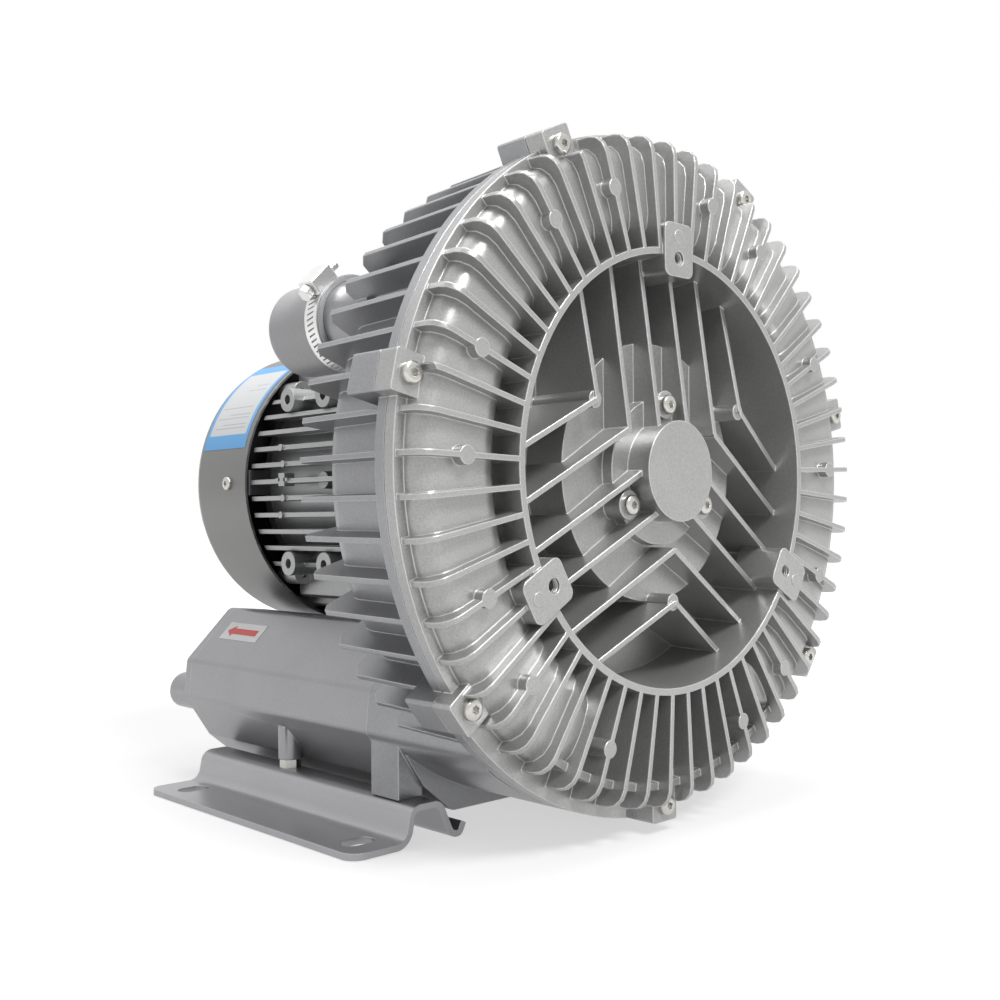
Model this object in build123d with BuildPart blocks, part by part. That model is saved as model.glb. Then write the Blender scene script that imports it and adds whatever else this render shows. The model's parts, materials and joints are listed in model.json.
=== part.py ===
"""Side channel blower: a finned aluminium casing with an inner impeller, a flanged
motor behind it, two silencers below the motor and two pressed foot rails.

Millimetres. +Z is up, the front cover faces -Y and the motor points to +Y.
The origin is the middle of the four foot slots, on the floor.
A depth is a distance behind the front face of the cover's rim.
A polar angle is counted from +X towards +Z, as seen from the front."""

import os
from math import cos, radians, sin, sqrt

from build123d import *

os.makedirs("parts", exist_ok=True)

# Place of the machine over its feet
axis_height = 216
foot_span_x = 300
foot_span_y = 188
rim_to_foot_centre = 211

# General walls and fits
wall = 5
seat_gap = 0.1
gap = 0.3
running_gap = 0.5
bend_facets = 3

# Impeller
impeller_radius = 174
impeller_rim_radius = 143
impeller_rim_width = 13
vane_count = 40
vane_thickness = 2.6
vane_length = 33
vane_gap = 1.5
tip_gap = 2.5
disc_thickness = 3
disc_radius = 170
web_thickness = 8
impeller_hub_radius = 30
key_width = 8
key_height = 7
key_length = 24

# Front cover, dish and hub
rim_radius = 132
rim_width = 4
cap_radius = 30
cap_proud = 2
hub_ring_radius = 44
hub_ring_depth = 14
plateau_radius = 78
plateau_depth = 21.5
dish_depth = 50
dish_draft = 4
land_width = 10
land_depth = 44.5

# Side channel and flange of the cover
channel_crown_depth = 6.5
channel_inner_bend = 15.5
channel_outer_bend = 12.5
channel_inset = 4.5
channel_overhang = 17
cavity_bend = 8
channel_start_angle = -50
channel_end_angle = 235
channel_block_angle = 12
flange_width = 16
flange_depth = 19
flange_thickness = 7
bottom_rib_width = 4.5
bottom_rib_depth = 8.3
bulge_width = 5
bulge_start_angle = 222
bulge_end_angle = 262

# Cooling fins of the casing
fin_count = 57
fin_thickness = 3
fin_corner = 10.5
fin_setback = 1.5
button_radius = 5
button_circle_radius = 168
button_fins = (3, 6, 11, 14, 18, 21, 25, 32, 35, 39, 43, 47, 52, 55)

# Straight ribs in the dish, in three directions
rib_pitch = 27
rib_thickness = 3.2
rib_front_depth = 3
rib_fall = 14
sector_angles = (90, 210, 330)

# Front fixing lugs with threaded holes
lug_width = 26
lug_length = 32
lug_setback = 17
lug_depth = 30
lug_hole_setback = 6
lug_hole_radius = 4.25
lug_hole_depth = 24

# Casing bolts, their lugs and the gasket
bolt_count = 7
bolt_radius = 3
bolt_length = 30
bolt_head_radius = 6
bolt_head_height = 4
bolt_pocket_gap = 1.5
bolt_lug_width = 22
bolt_lug_length = 30
bolt_lug_rise = 6
bolt_lug_corner = 2
gasket_thickness = 0.6
gasket_width = 12

# Rear housing
housing_wall = 7.5
rear_wall = 6
housing_draft = 3
housing_flange = 7
housing_lug_depth = 22
rear_channel_depth = 106
rear_channel_bend = 14
rear_channel_inset = 4
motor_seat_width = 18
motor_seat_depth = 116
rear_fin_depth = 112
rear_fin_reach = 195.5
rear_fin_corner = 6
seal_radius = 26
seal_width = 10
seal_boss_wall = 8

# Shaft and its bearings
shaft_radius = 15
shaft_shoulder_radius = 18
bearing_radius = 31
bearing_width = 16
bearing_seat_depth = 20
bearing_inner_ring = 19.8
bearing_outer_ring = 26.2
bearing_shield = 1
spring_thickness = 2
fan_seat_radius = 12
fan_seat_length = 34
end_washer_radius = 19
end_washer_thickness = 3
end_screw_radius = 4
end_screw_length = 24
retainer_thickness = 6
retainer_radius = 46
retainer_bore_radius = 24
retainer_screw_circle = 40
screw_boss_radius = 8.5
screw_boss_depth = 9
spacer_length = 11
spacer_radius = 19

# Motor
frame_bore_radius = 80
frame_wall = 6
frame_length = 191
frame_fin_radius = 102
frame_fin_pitch = 11.8
frame_fin_thickness = 3.2
frame_fin_count = 11
frame_fin_setback = 6
motor_flange_radius = 112
motor_flange_thickness = 10
motor_spigot_height = 6
flange_bolt_radius = 4
flange_bolt_length = 20
stator_bore_radius = 52
air_gap = 0.6
core_start = 34
core_length = 110
winding_width = 19
winding_length = 20
end_ring_width = 16
end_ring_length = 12
shield_thickness = 8
shield_spigot = 6
shield_boss_wall = 9
tie_boss_angle = 45
tie_boss_circle = 94
tie_boss_radius = 8
tie_boss_length = 14
tie_bolt_length = 20
side_boss_face = 92
side_boss_height = 58
side_boss_radius = 8.5
side_boss_bore = 3.5
side_boss_bore_depth = 16
side_boss_front = 232
side_boss_rear = 275
middle_boss_radius = 6

# Fan and cowl
cowl_radius = 106
cowl_wall = 2
cowl_overlap = 6
cowl_length = 73
cowl_corner = 9
cowl_lug_width = 18
cowl_lug_length = 40
cowl_lug_height = 9
cowl_screw_setback = 23
cowl_screw_radius = 2.5
cowl_slot_count = 20
cowl_slot_width = 5
cowl_slot_inner = 28
cowl_slot_length = 52
fan_radius = 90
fan_hub_radius = 20
fan_disc_thickness = 3
fan_disc_setback = 6
fan_blade_count = 8
fan_blade_length = 24
fan_blade_thickness = 2.5
fan_clamp_width = 7
fan_clamp_thickness = 4

# Silencers and the casting's port blocks, drawn for the left side
silencer_outline = (
    (-12, -118),
    (-60, -96),
    (-90, -93),
    (-126, -129),
    (-128.5, -155),
    (-108, -186),
    (-86, -204),
    (-12, -204),
)
silencer_corner = 7
silencer_length = 213
silencer_wall = 4
silencer_end_thickness = 7
block_start_depth = 36
block_length = 101
block_step_depth = 108
block_front_radius = 205
port_x = 72
port_z = -148
port_radius = 28.3
port_boss_radius = 37
port_boss_length = 14
foam_thickness = 14
plate_screw_places = ((-21, -127), (-90, -103), (-86, -194), (-21, -195))
plate_screw_boss_radius = 6
plate_screw_radius = 2.5
plate_screw_length = 20
ear_radius = 13
ear_length = 26
ear_x = 113
ear_z = -155

# Foot rails
rail_setback = 95.5
rail_length = 236
rail_sheet = 4
rail_edge_x = 170
rail_web_x = 130
rail_crest_x = 126
rail_inner_crest_x = 106
rail_inner_foot_x = 97
rail_lip_x = 87.5
rail_lip_height = 8
rail_height = 24
rail_foot_bend = 10
rail_crest_bend = 6.5
rail_inner_bend = 6
rail_lip_bend = 3
rail_lip_width = 3
rail_corner = 10
slot_width = 14
slot_length = 22

# Pads and bolts that join the machine to the rails
pad_x = 116
pad_width = 18
pad_length = 26
pad_top = 72
rear_pad_setback = 100
rear_pad_radius = 8
rear_pad_height = 22
foot_nut_height = 6
foot_bolt_radius = 4
foot_bolt_head_radius = 7
foot_bolt_head_height = 5
foot_bolt_length = 22

# Capped spare port with its hose clamp
spigot_x = -128.7
spigot_z = 92.2
spigot_radius = 25.4
spigot_wall = 4
spigot_end_depth = 168
rubber_wall = 3
rubber_start_depth = 142
rubber_length = 59
rubber_corner = 7
band_setback = 2
band_width = 12
band_thickness = 0.8
clamp_angle = 135
clamp_housing_length = 18
clamp_housing_height = 9
clamp_screw_radius = 3
clamp_screw_length = 26
clamp_head_radius = 4.6
clamp_head_height = 5

# Terminal box
box_width = 88
box_length = 84
box_setback = 18
box_bottom = 98
box_height = 42
box_wall = 3.5
box_corner = 6
box_pad_margin = 6
box_gasket_thickness = 1
lid_thickness = 9
lid_screw_inset = 9
lid_screw_radius = 2
lid_screw_length = 18
block_width = 60
block_depth = 34
block_height = 12
stud_radius = 2
stud_length = 10
stud_pitch = 18
gland_radius = 11
gland_bore_radius = 5
gland_length = 22
gland_pitch = 36
gland_thread_radius = 8
seal_ring_radius = 7.5
seal_ring_length = 8

# Places worked out from the sizes above
front_y = -rim_to_foot_centre
MOTOR_AXIS = Axis((0, front_y, axis_height), (0, -1, 0))
cavity_radius = impeller_radius + tip_gap
housing_outer_radius = cavity_radius + housing_wall
flange_radius = housing_outer_radius + flange_width
bolt_circle_radius = flange_radius - 1
bolt_angle = 270
vane_front = land_depth + vane_gap
vane_rear = vane_front + vane_length
cover_rear = flange_depth + flange_thickness
housing_front = cover_rear + gasket_thickness
bolt_seat = flange_depth - bolt_lug_rise
bearing_rear = bearing_seat_depth + bearing_width
hub_front = bearing_rear + spacer_length
web_front = vane_rear + vane_gap
web_rear = web_front + rear_wall
silencer_start = block_start_depth + block_length
silencer_rear = silencer_start + silencer_length
frame_rear = motor_seat_depth + frame_length
shield_rear = frame_rear + shield_thickness
cowl_front = shield_rear - cowl_overlap
cowl_rear = cowl_front + cowl_length
cowl_screw_depth = cowl_front + cowl_screw_setback
rear_bearing_depth = frame_rear + shield_spigot
spigot_height = axis_height + spigot_z
front_pad_depth = silencer_start - pad_length / 2 - running_gap
rear_pad_depth = silencer_start + rear_pad_setback
core_depth = motor_seat_depth + core_start
core_rear = core_depth + core_length
tie_angles = (tie_boss_angle, 180 - tie_boss_angle, 180 + tie_boss_angle, 360 - tie_boss_angle)
seat_outer_radius = motor_flange_radius + 4
seat_inner_radius = seat_outer_radius - motor_seat_width
flange_bolt_circle = (seat_inner_radius + motor_flange_radius) / 2


def facing(depth):
    """Plane across the motor axis, seen from the front, with its own z forward."""
    return Plane(origin=(0, front_y + depth, axis_height), x_dir=(1, 0, 0), z_dir=(0, -1, 0))


def behind(depth):
    """Plane across the motor axis, seen from behind, with its own z rearward."""
    return Plane(origin=(0, front_y + depth, axis_height), x_dir=(-1, 0, 0), z_dir=(0, 1, 0))


def radial(angle):
    """Plane through the motor axis: x is the radius and y the depth."""
    a = radians(angle)
    return Plane(origin=(0, front_y, axis_height), x_dir=(cos(a), 0, sin(a)), z_dir=(-sin(a), 0, cos(a)))


def beside(angle, offset):
    """Plane along a sector's direction, moved sideways by the offset."""
    a = radians(angle)
    place = (offset * sin(a), front_y, axis_height - offset * cos(a))
    return Plane(origin=place, x_dir=(cos(a), 0, sin(a)), z_dir=(-sin(a), 0, cos(a)))


def outward(angle, radius, depth):
    """Plane that touches a cylinder round the motor axis, with its own z outward."""
    a = radians(angle)
    place = (radius * cos(a), front_y + depth, axis_height + radius * sin(a))
    return Plane(origin=place, x_dir=(0, 1, 0), z_dir=(cos(a), 0, sin(a)))


def sideways(side, distance):
    """Upright plane beside the motor axis, facing outward: x is the depth."""
    place = (side * distance, front_y, axis_height)
    return Plane(origin=place, x_dir=(0, 1, 0), z_dir=(side, 0, 0))


def upright(x, depth, height, z_dir=(0, 0, 1)):
    """Level plane at a place over the floor, facing up or down."""
    return Plane(origin=(x, front_y + depth, height), x_dir=(1, 0, 0), z_dir=z_dir)


def polar(radius, angle):
    return (radius * cos(radians(angle)), radius * sin(radians(angle)))


def bend(centre, radius, start, turn):
    """Points of a cast corner, rounded with short facets."""
    steps = [start + turn * k / bend_facets for k in range(bend_facets + 1)]
    return [(centre[0] + radius * cos(radians(s)), centre[1] + radius * sin(radians(s))) for s in steps]


def save(part, name):
    part.label = name
    export_step(part, "parts/" + name + ".step")


def socket_screw(radius, length, head_radius, head_height):
    """Socket head screw: the head stands on its plane and the shank goes below."""
    with BuildPart() as screw:
        with BuildSketch():
            Circle(head_radius)
        extrude(amount=head_height)
        with BuildSketch(Plane.XY.offset(head_height)):
            RegularPolygon(radius=head_radius / 2, side_count=6)
        extrude(amount=-head_height / 2, mode=Mode.SUBTRACT)
        with BuildSketch():
            Circle(radius)
        extrude(amount=-length)
    return screw.part


def hex_screw(radius, length, head_radius, head_height):
    """Hexagon head screw: the head stands on its plane and the shank goes below."""
    with BuildPart() as screw:
        with BuildSketch():
            RegularPolygon(radius=head_radius, side_count=6)
        extrude(amount=head_height)
        with BuildSketch():
            Circle(radius)
        extrude(amount=-length)
    return screw.part


def ring(inner_radius, outer_radius, start, end):
    """Plain ring round the motor axis between two depths."""
    with BuildPart() as turned:
        with BuildSketch(facing(start)):
            Circle(outer_radius)
            Circle(inner_radius, mode=Mode.SUBTRACT)
        extrude(amount=start - end)
    return turned.part


def silencer_section(side, inset):
    """Rounded outline of a silencer as seen from the front, side 1 for the left."""
    with BuildSketch() as section:
        with BuildLine():
            Polyline(*[(side * x, z) for x, z in silencer_outline], close=True)
        make_face()
        fillet(section.vertices(), silencer_corner)
        if inset > 0:
            offset(amount=-inset, mode=Mode.REPLACE)
    return section.sketch


fin_step = 360 / fin_count
fin_angles = [90 + fin_step * k for k in range(fin_count)]
channel_inner_radius = rim_radius + channel_inset
channel_outer_radius = cavity_radius + channel_overhang
land_radius = rim_radius + land_width

# Front cover
rim_inner = rim_radius - rim_width
dish_floor_radius = rim_inner - dish_draft
crown_inner = channel_inner_radius + channel_inner_bend
crown_outer = channel_outer_radius - channel_outer_bend
inner_bend_depth = channel_crown_depth + channel_inner_bend
boss_outer = retainer_radius + 2
fin_reach = flange_radius - fin_setback
rib_starts = (rib_pitch / 2, rib_pitch * 3 / 2, rib_pitch * 5 / 2)
bottom_rib_radius = channel_outer_radius - channel_inset - 1
channel_arc = channel_end_angle - channel_start_angle

with BuildPart() as front_cover:
    # Dish with its hub, and the land that faces the impeller
    with BuildSketch(radial(0)):
        with BuildLine():
            Polyline(
                (0, -cap_proud),
                (cap_radius, -cap_proud),
                (cap_radius, hub_ring_depth),
                (hub_ring_radius, hub_ring_depth),
                (hub_ring_radius, plateau_depth),
                (plateau_radius, plateau_depth),
                (plateau_radius, dish_depth),
                (dish_floor_radius, dish_depth),
                (rim_inner, 0),
                (rim_radius, 0),
                (rim_radius, inner_bend_depth),
                (land_radius, inner_bend_depth),
                (land_radius, land_depth),
                (dish_floor_radius + wall, land_depth),
                (dish_floor_radius, dish_depth + wall),
                (0, dish_depth + wall),
                close=True,
            )
        make_face()
    revolve(axis=MOTOR_AXIS)
    # Straight ribs of the dish, longer ones nearer the middle
    for offset_x in rib_starts:
        reach = sqrt((rim_inner + 1) ** 2 - offset_x**2)
        start = max(offset_x / sqrt(3), sqrt(max(cap_radius**2 - offset_x**2, 0)) - 1)
        with BuildSketch(*[beside(a, s * offset_x) for a in sector_angles for s in (-1, 1)]):
            with BuildLine():
                Polyline(
                    (start, rib_front_depth),
                    (reach, rib_front_depth + rib_fall),
                    (reach - dish_draft, dish_depth + 1),
                    (start, dish_depth + 1),
                    close=True,
                )
            make_face()
        extrude(amount=rib_thickness / 2, both=True)
    # Posts where the outermost ribs meet, and bosses of the hub screws
    with BuildSketch(facing(rib_front_depth + 2)):
        with PolarLocations(rib_starts[-1] / cos(radians(30)), 3, start_angle=30):
            Circle(button_radius)
    extrude(amount=rib_front_depth - dish_depth)
    with BuildSketch(facing(screw_boss_depth)):
        with PolarLocations(retainer_screw_circle, 3, start_angle=sector_angles[0]):
            Circle(screw_boss_radius)
    extrude(amount=screw_boss_depth - bearing_rear)
    # Front fixing lugs
    with BuildSketch(facing(-cap_proud)):
        with PolarLocations(rim_radius - lug_setback + lug_length / 2, 3, start_angle=sector_angles[0]):
            RectangleRounded(lug_length, lug_width, button_radius)
    extrude(amount=-(lug_depth + cap_proud))
    # Outer skin of the side channel, which stops short at the bottom
    with BuildSketch(radial(channel_start_angle)):
        with BuildLine():
            Polyline(
                (channel_inner_radius, cover_rear),
                *bend((crown_inner, inner_bend_depth), channel_inner_bend, 180, 90),
                *bend((crown_outer, flange_depth), channel_outer_bend, 270, 90),
                (flange_radius, flange_depth),
                (flange_radius, cover_rear),
                close=True,
            )
        make_face()
    revolve(axis=MOTOR_AXIS, revolution_arc=channel_arc)
    # Rounded ends of the channel
    channel_middle = (channel_inner_radius + channel_outer_radius) / 2
    channel_half = (channel_outer_radius - channel_inner_radius) / 2
    for angle in (channel_start_angle, channel_end_angle):
        x, z = polar(channel_middle, angle)
        with BuildSketch(upright(x, 0, axis_height + z)):
            with BuildLine():
                Polyline(
                    (0, channel_crown_depth),
                    *bend((channel_half - channel_outer_bend, flange_depth), channel_outer_bend, 270, 90),
                    (channel_half, cover_rear),
                    (0, cover_rear),
                    close=True,
                )
            make_face()
        revolve(axis=Axis((x, front_y, axis_height + z), (0, 1, 0)))
    # Flat bottom sector with its curved rib
    with BuildSketch(radial(channel_end_angle)):
        with BuildLine():
            Polyline(
                (rim_radius - 1, inner_bend_depth),
                (bottom_rib_radius - bottom_rib_width, inner_bend_depth),
                (bottom_rib_radius - bottom_rib_width, bottom_rib_depth),
                (bottom_rib_radius, bottom_rib_depth),
                (bottom_rib_radius, flange_depth),
                (flange_radius, flange_depth),
                (flange_radius, cover_rear),
                (rim_radius - 1, cover_rear),
                close=True,
            )
        make_face()
    revolve(axis=MOTOR_AXIS, revolution_arc=360 - channel_arc)
    # Wider flange over the left port block
    with BuildSketch(radial(bulge_start_angle)):
        with Locations((flange_radius, (flange_depth + cover_rear) / 2)):
            Rectangle(2 * bulge_width, flange_thickness)
    revolve(axis=MOTOR_AXIS, revolution_arc=bulge_end_angle - bulge_start_angle)
    # Lugs for the casing bolts
    with BuildSketch(facing(bolt_seat)):
        with PolarLocations(bolt_circle_radius - wall, bolt_count, start_angle=bolt_angle):
            RectangleRounded(bolt_lug_length, bolt_lug_width, bolt_lug_corner)
    extrude(amount=bolt_seat - cover_rear)
    # Radial cooling fins, level with the rim and rounded off to the flange
    with BuildSketch(*[radial(a) for a in fin_angles]):
        with BuildLine():
            Polyline(
                (rim_radius - 1, 0),
                *bend((fin_reach - fin_corner, fin_corner), fin_corner, 270, 90),
                (fin_reach, flange_depth + 1),
                (rim_radius - 1, flange_depth + 1),
                close=True,
            )
        make_face()
    extrude(amount=fin_thickness / 2, both=True)
    # Round ejector buttons on some of the fins
    with BuildSketch(facing(0)):
        with Locations(*[polar(button_circle_radius, fin_angles[k]) for k in button_fins]):
            Circle(button_radius)
    extrude(amount=-(flange_depth + 1))
    # Hollow of the side channel
    with BuildSketch(radial(channel_start_angle + channel_block_angle)):
        with BuildLine():
            Polyline(
                (land_radius, cover_rear + 1),
                *bend((crown_inner, inner_bend_depth), channel_inner_bend - wall, 180, 90),
                *bend((cavity_radius - cavity_bend, channel_crown_depth + wall + cavity_bend), cavity_bend, 270, 90),
                (cavity_radius, cover_rear + 1),
                close=True,
            )
        make_face()
    revolve(axis=MOTOR_AXIS, revolution_arc=channel_arc - 2 * channel_block_angle, mode=Mode.SUBTRACT)
    # Turned space behind the dish and hub, with the seat of the front bearing
    with BuildSketch(radial(0)):
        with BuildLine():
            Polyline(
                (0, wall - cap_proud),
                (cap_radius - wall, wall - cap_proud),
                (cap_radius - wall, bearing_seat_depth),
                (bearing_radius + seat_gap, bearing_seat_depth),
                (bearing_radius + seat_gap, bearing_rear),
                (boss_outer, bearing_rear),
                (boss_outer, plateau_depth + wall),
                (plateau_radius - wall, plateau_depth + wall),
                (plateau_radius - wall, dish_depth + wall),
                (dish_floor_radius, dish_depth + wall),
                (dish_floor_radius, dish_depth + 2 * wall),
                (0, dish_depth + 2 * wall),
                close=True,
            )
        make_face()
    revolve(axis=MOTOR_AXIS, mode=Mode.SUBTRACT)
    # Seats and holes of the casing bolts and hub screws
    with Locations(facing(-1)):
        with PolarLocations(bolt_circle_radius, bolt_count, start_angle=bolt_angle):
            CounterBoreHole(bolt_radius + gap, bolt_head_radius + bolt_pocket_gap, bolt_seat + 1, cover_rear + 2)
        with PolarLocations(retainer_screw_circle, 3, start_angle=sector_angles[0]):
            CounterBoreHole(bolt_radius + gap, bolt_head_radius + gap, screw_boss_depth + 1, bearing_rear + 2)
    # Threaded holes of the front fixing lugs
    with Locations(facing(-cap_proud)):
        with PolarLocations(rim_radius - lug_hole_setback, 3, start_angle=sector_angles[0]):
            Hole(lug_hole_radius, lug_hole_depth)
save(front_cover.part, "front_cover")

# Rear housing with the port blocks, front foot pads and the spare port
housing_rear_radius = housing_outer_radius - housing_draft
rear_bend_centre = (housing_rear_radius - rear_channel_bend, rear_channel_depth - rear_channel_bend)
rear_crown_inner = land_radius + rear_channel_bend - 2
seal_boss_radius = seal_radius + seal_boss_wall
seal_seat_depth = web_front + 2
seal_rear = seal_seat_depth + seal_width
seal_lip_radius = shaft_shoulder_radius + 2
spigot_inner_radius = spigot_radius - spigot_wall

left_outline = silencer_section(1, 0)
right_outline = silencer_section(-1, 0)
housing_pad_z = (rail_height + pad_top) / 2 - axis_height

with BuildPart() as rear_housing:
    # Turned outside: flange, outer wall, rear of the channel, web and motor seat
    with BuildSketch(radial(0)):
        with BuildLine():
            Polyline(
                (0, housing_front),
                (flange_radius, housing_front),
                (flange_radius, housing_front + housing_flange),
                (housing_outer_radius, housing_front + housing_flange),
                *bend(rear_bend_centre, rear_channel_bend, 0, 90),
                (rear_crown_inner, rear_channel_depth),
                (land_radius - rear_channel_inset, web_rear),
                (seat_outer_radius, web_rear),
                (seat_outer_radius, motor_seat_depth),
                (seat_inner_radius, motor_seat_depth),
                (seat_inner_radius, web_rear),
                (seal_boss_radius, web_rear),
                (seal_boss_radius, seal_rear),
                (0, seal_rear),
                close=True,
            )
        make_face()
    revolve(axis=MOTOR_AXIS)
    # Wider flange over the left port block
    with BuildSketch(radial(bulge_start_angle)):
        with Locations((flange_radius, housing_front + housing_flange / 2)):
            Rectangle(2 * bulge_width, housing_flange)
    revolve(axis=MOTOR_AXIS, revolution_arc=bulge_end_angle - bulge_start_angle)
    # Lugs for the casing bolts
    with BuildSketch(facing(housing_front)):
        with PolarLocations(bolt_circle_radius - wall, bolt_count, start_angle=bolt_angle):
            RectangleRounded(bolt_lug_length, bolt_lug_width, bolt_lug_corner)
    extrude(amount=-housing_lug_depth)
    # Port blocks under the motor and the pads of the front foot bolts
    with BuildSketch(facing(block_start_depth)):
        add(left_outline)
        add(right_outline)
        Circle(block_front_radius, mode=Mode.INTERSECT)
    extrude(amount=-block_length)
    with BuildSketch(facing(block_step_depth)):
        add(left_outline)
        add(right_outline)
    extrude(amount=block_step_depth - silencer_start)
    with BuildSketch(facing(front_pad_depth - pad_length / 2)):
        with Locations((-pad_x, housing_pad_z), (pad_x, housing_pad_z)):
            Rectangle(pad_width, pad_top - rail_height)
    extrude(amount=-pad_length)
    # Radial cooling fins over the outer wall and the rear of the channel
    with BuildSketch(*[radial(a) for a in fin_angles]):
        with BuildLine():
            Polyline(
                (cavity_radius, housing_front + 2),
                (fin_reach, housing_front + 2),
                (rear_fin_reach, rear_fin_depth - rear_fin_corner),
                (rear_fin_reach - rear_fin_corner, rear_fin_depth),
                (seat_outer_radius + 2, rear_fin_depth),
                (seat_outer_radius + 2, web_front + 1),
                (cavity_radius, web_front + 1),
                close=True,
            )
        make_face()
    extrude(amount=fin_thickness / 2, both=True)
    # Tube of the spare port
    with BuildSketch(facing(spigot_end_depth)):
        with Locations((spigot_x, spigot_z)):
            Circle(spigot_radius)
    extrude(amount=spigot_end_depth - rear_channel_depth + wall)
    # Inside of the housing: side channel, web and the seat of the shaft seal
    with BuildSketch(radial(0)):
        with BuildLine():
            Polyline(
                (0, housing_front - 1),
                (cavity_radius, housing_front - 1),
                (cavity_radius, web_front),
                *bend(rear_bend_centre, rear_channel_bend - rear_wall, 0, 90),
                (rear_crown_inner, rear_channel_depth - rear_wall),
                (land_radius, web_front),
                (seal_lip_radius, web_front),
                (seal_lip_radius, seal_seat_depth),
                (seal_radius + seat_gap, seal_seat_depth),
                (seal_radius + seat_gap, seal_rear + 1),
                (0, seal_rear + 1),
                close=True,
            )
        make_face()
    revolve(axis=MOTOR_AXIS, mode=Mode.SUBTRACT)
    # Ducts from the channel to the silencers and to the spare port
    with BuildSketch(facing(silencer_start + 1)):
        with Locations((-port_x, port_z), (port_x, port_z)):
            Circle(port_radius)
    extrude(amount=silencer_start + 1 - web_front + rear_wall, mode=Mode.SUBTRACT)
    with BuildSketch(facing(spigot_end_depth + 1)):
        with Locations((spigot_x, spigot_z)):
            Circle(spigot_inner_radius)
    extrude(amount=spigot_end_depth + 1 - rear_channel_depth + 2 * rear_wall, mode=Mode.SUBTRACT)
    # Threaded holes for the casing bolts, the motor's flange bolts and the foot bolts
    with Locations(facing(housing_front)):
        with PolarLocations(bolt_circle_radius, bolt_count, start_angle=bolt_angle):
            Hole(bolt_radius + seat_gap, housing_lug_depth + 1)
    with Locations(behind(motor_seat_depth)):
        with PolarLocations(flange_bolt_circle, 4, start_angle=45):
            Hole(flange_bolt_radius + seat_gap, flange_bolt_length)
    with Locations(upright(-pad_x, front_pad_depth, rail_height, (0, 0, -1))):
        Hole(foot_bolt_radius + seat_gap, foot_bolt_length)
    with Locations(upright(pad_x, front_pad_depth, rail_height, (0, 0, -1))):
        Hole(foot_bolt_radius + seat_gap, foot_bolt_length)
save(rear_housing.part, "rear_housing")

# Gasket between the two castings
save(ring(cavity_radius + 2, cavity_radius + 2 + gasket_width, cover_rear, housing_front), "casing_gasket")

# Casing bolts round the flange
casing_bolt = socket_screw(bolt_radius, bolt_length, bolt_head_radius, bolt_head_height)
with BuildPart() as casing_bolts:
    with Locations(facing(bolt_seat)):
        with PolarLocations(bolt_circle_radius, bolt_count, start_angle=bolt_angle):
            add(casing_bolt)
save(casing_bolts.part, "casing_bolts")

# Plate that holds the front bearing, and its three screws
with BuildPart() as bearing_retainer:
    with BuildSketch(facing(bearing_rear)):
        Circle(retainer_radius)
        Circle(retainer_bore_radius, mode=Mode.SUBTRACT)
        with PolarLocations(retainer_screw_circle, 3, start_angle=sector_angles[0]):
            Circle(bolt_radius + seat_gap, mode=Mode.SUBTRACT)
    extrude(amount=-retainer_thickness)
save(bearing_retainer.part, "bearing_retainer")

retainer_length = bearing_rear - screw_boss_depth + retainer_thickness
retainer_screw = socket_screw(bolt_radius, retainer_length, bolt_head_radius, bolt_head_height)
with BuildPart() as retainer_screws:
    with Locations(facing(screw_boss_depth)):
        with PolarLocations(retainer_screw_circle, 3, start_angle=sector_angles[0]):
            add(retainer_screw)
save(retainer_screws.part, "retainer_screws")

# Impeller: hub, web and rim in one turned piece, with two rows of vanes round it
with BuildPart() as impeller:
    web_depth = (vane_front + vane_rear - web_thickness) / 2
    rim_foot = impeller_rim_radius - impeller_rim_width
    with BuildSketch(radial(0)):
        with BuildLine():
            Polyline(
                (shaft_radius + seat_gap, hub_front),
                (impeller_hub_radius, hub_front),
                (impeller_hub_radius, web_depth),
                (rim_foot, web_depth),
                (rim_foot, vane_front),
                (impeller_rim_radius, vane_front),
                (impeller_rim_radius, vane_rear),
                (rim_foot, vane_rear),
                (rim_foot, web_depth + web_thickness),
                (impeller_hub_radius, web_depth + web_thickness),
                (impeller_hub_radius, vane_rear),
                (shaft_radius + seat_gap, vane_rear),
                close=True,
            )
        make_face()
        with Locations(((impeller_rim_radius + disc_radius) / 2, (vane_front + vane_rear) / 2)):
            Rectangle(disc_radius - impeller_rim_radius, disc_thickness)
    revolve(axis=MOTOR_AXIS)
    with BuildSketch(*[radial(360 / vane_count * k) for k in range(vane_count)]):
        with Locations(((impeller_rim_radius - 1 + impeller_radius) / 2, (vane_front + vane_rear) / 2)):
            Rectangle(impeller_radius - impeller_rim_radius + 1, vane_length)
    extrude(amount=vane_thickness / 2, both=True)
    with BuildSketch(facing(hub_front)):
        with Locations((0, shaft_radius)):
            Rectangle(key_width, key_height)
    extrude(amount=hub_front - vane_rear, mode=Mode.SUBTRACT)
save(impeller.part, "impeller")

key_front = (hub_front + vane_rear - key_length) / 2
with BuildPart() as impeller_key:
    with BuildSketch(facing(key_front)):
        with Locations((0, shaft_radius)):
            Rectangle(key_width, key_height)
    extrude(amount=-key_length)
save(impeller_key.part, "impeller_key")

save(ring(shaft_radius + seat_gap, spacer_radius, bearing_rear, hub_front), "impeller_spacer")

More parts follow.
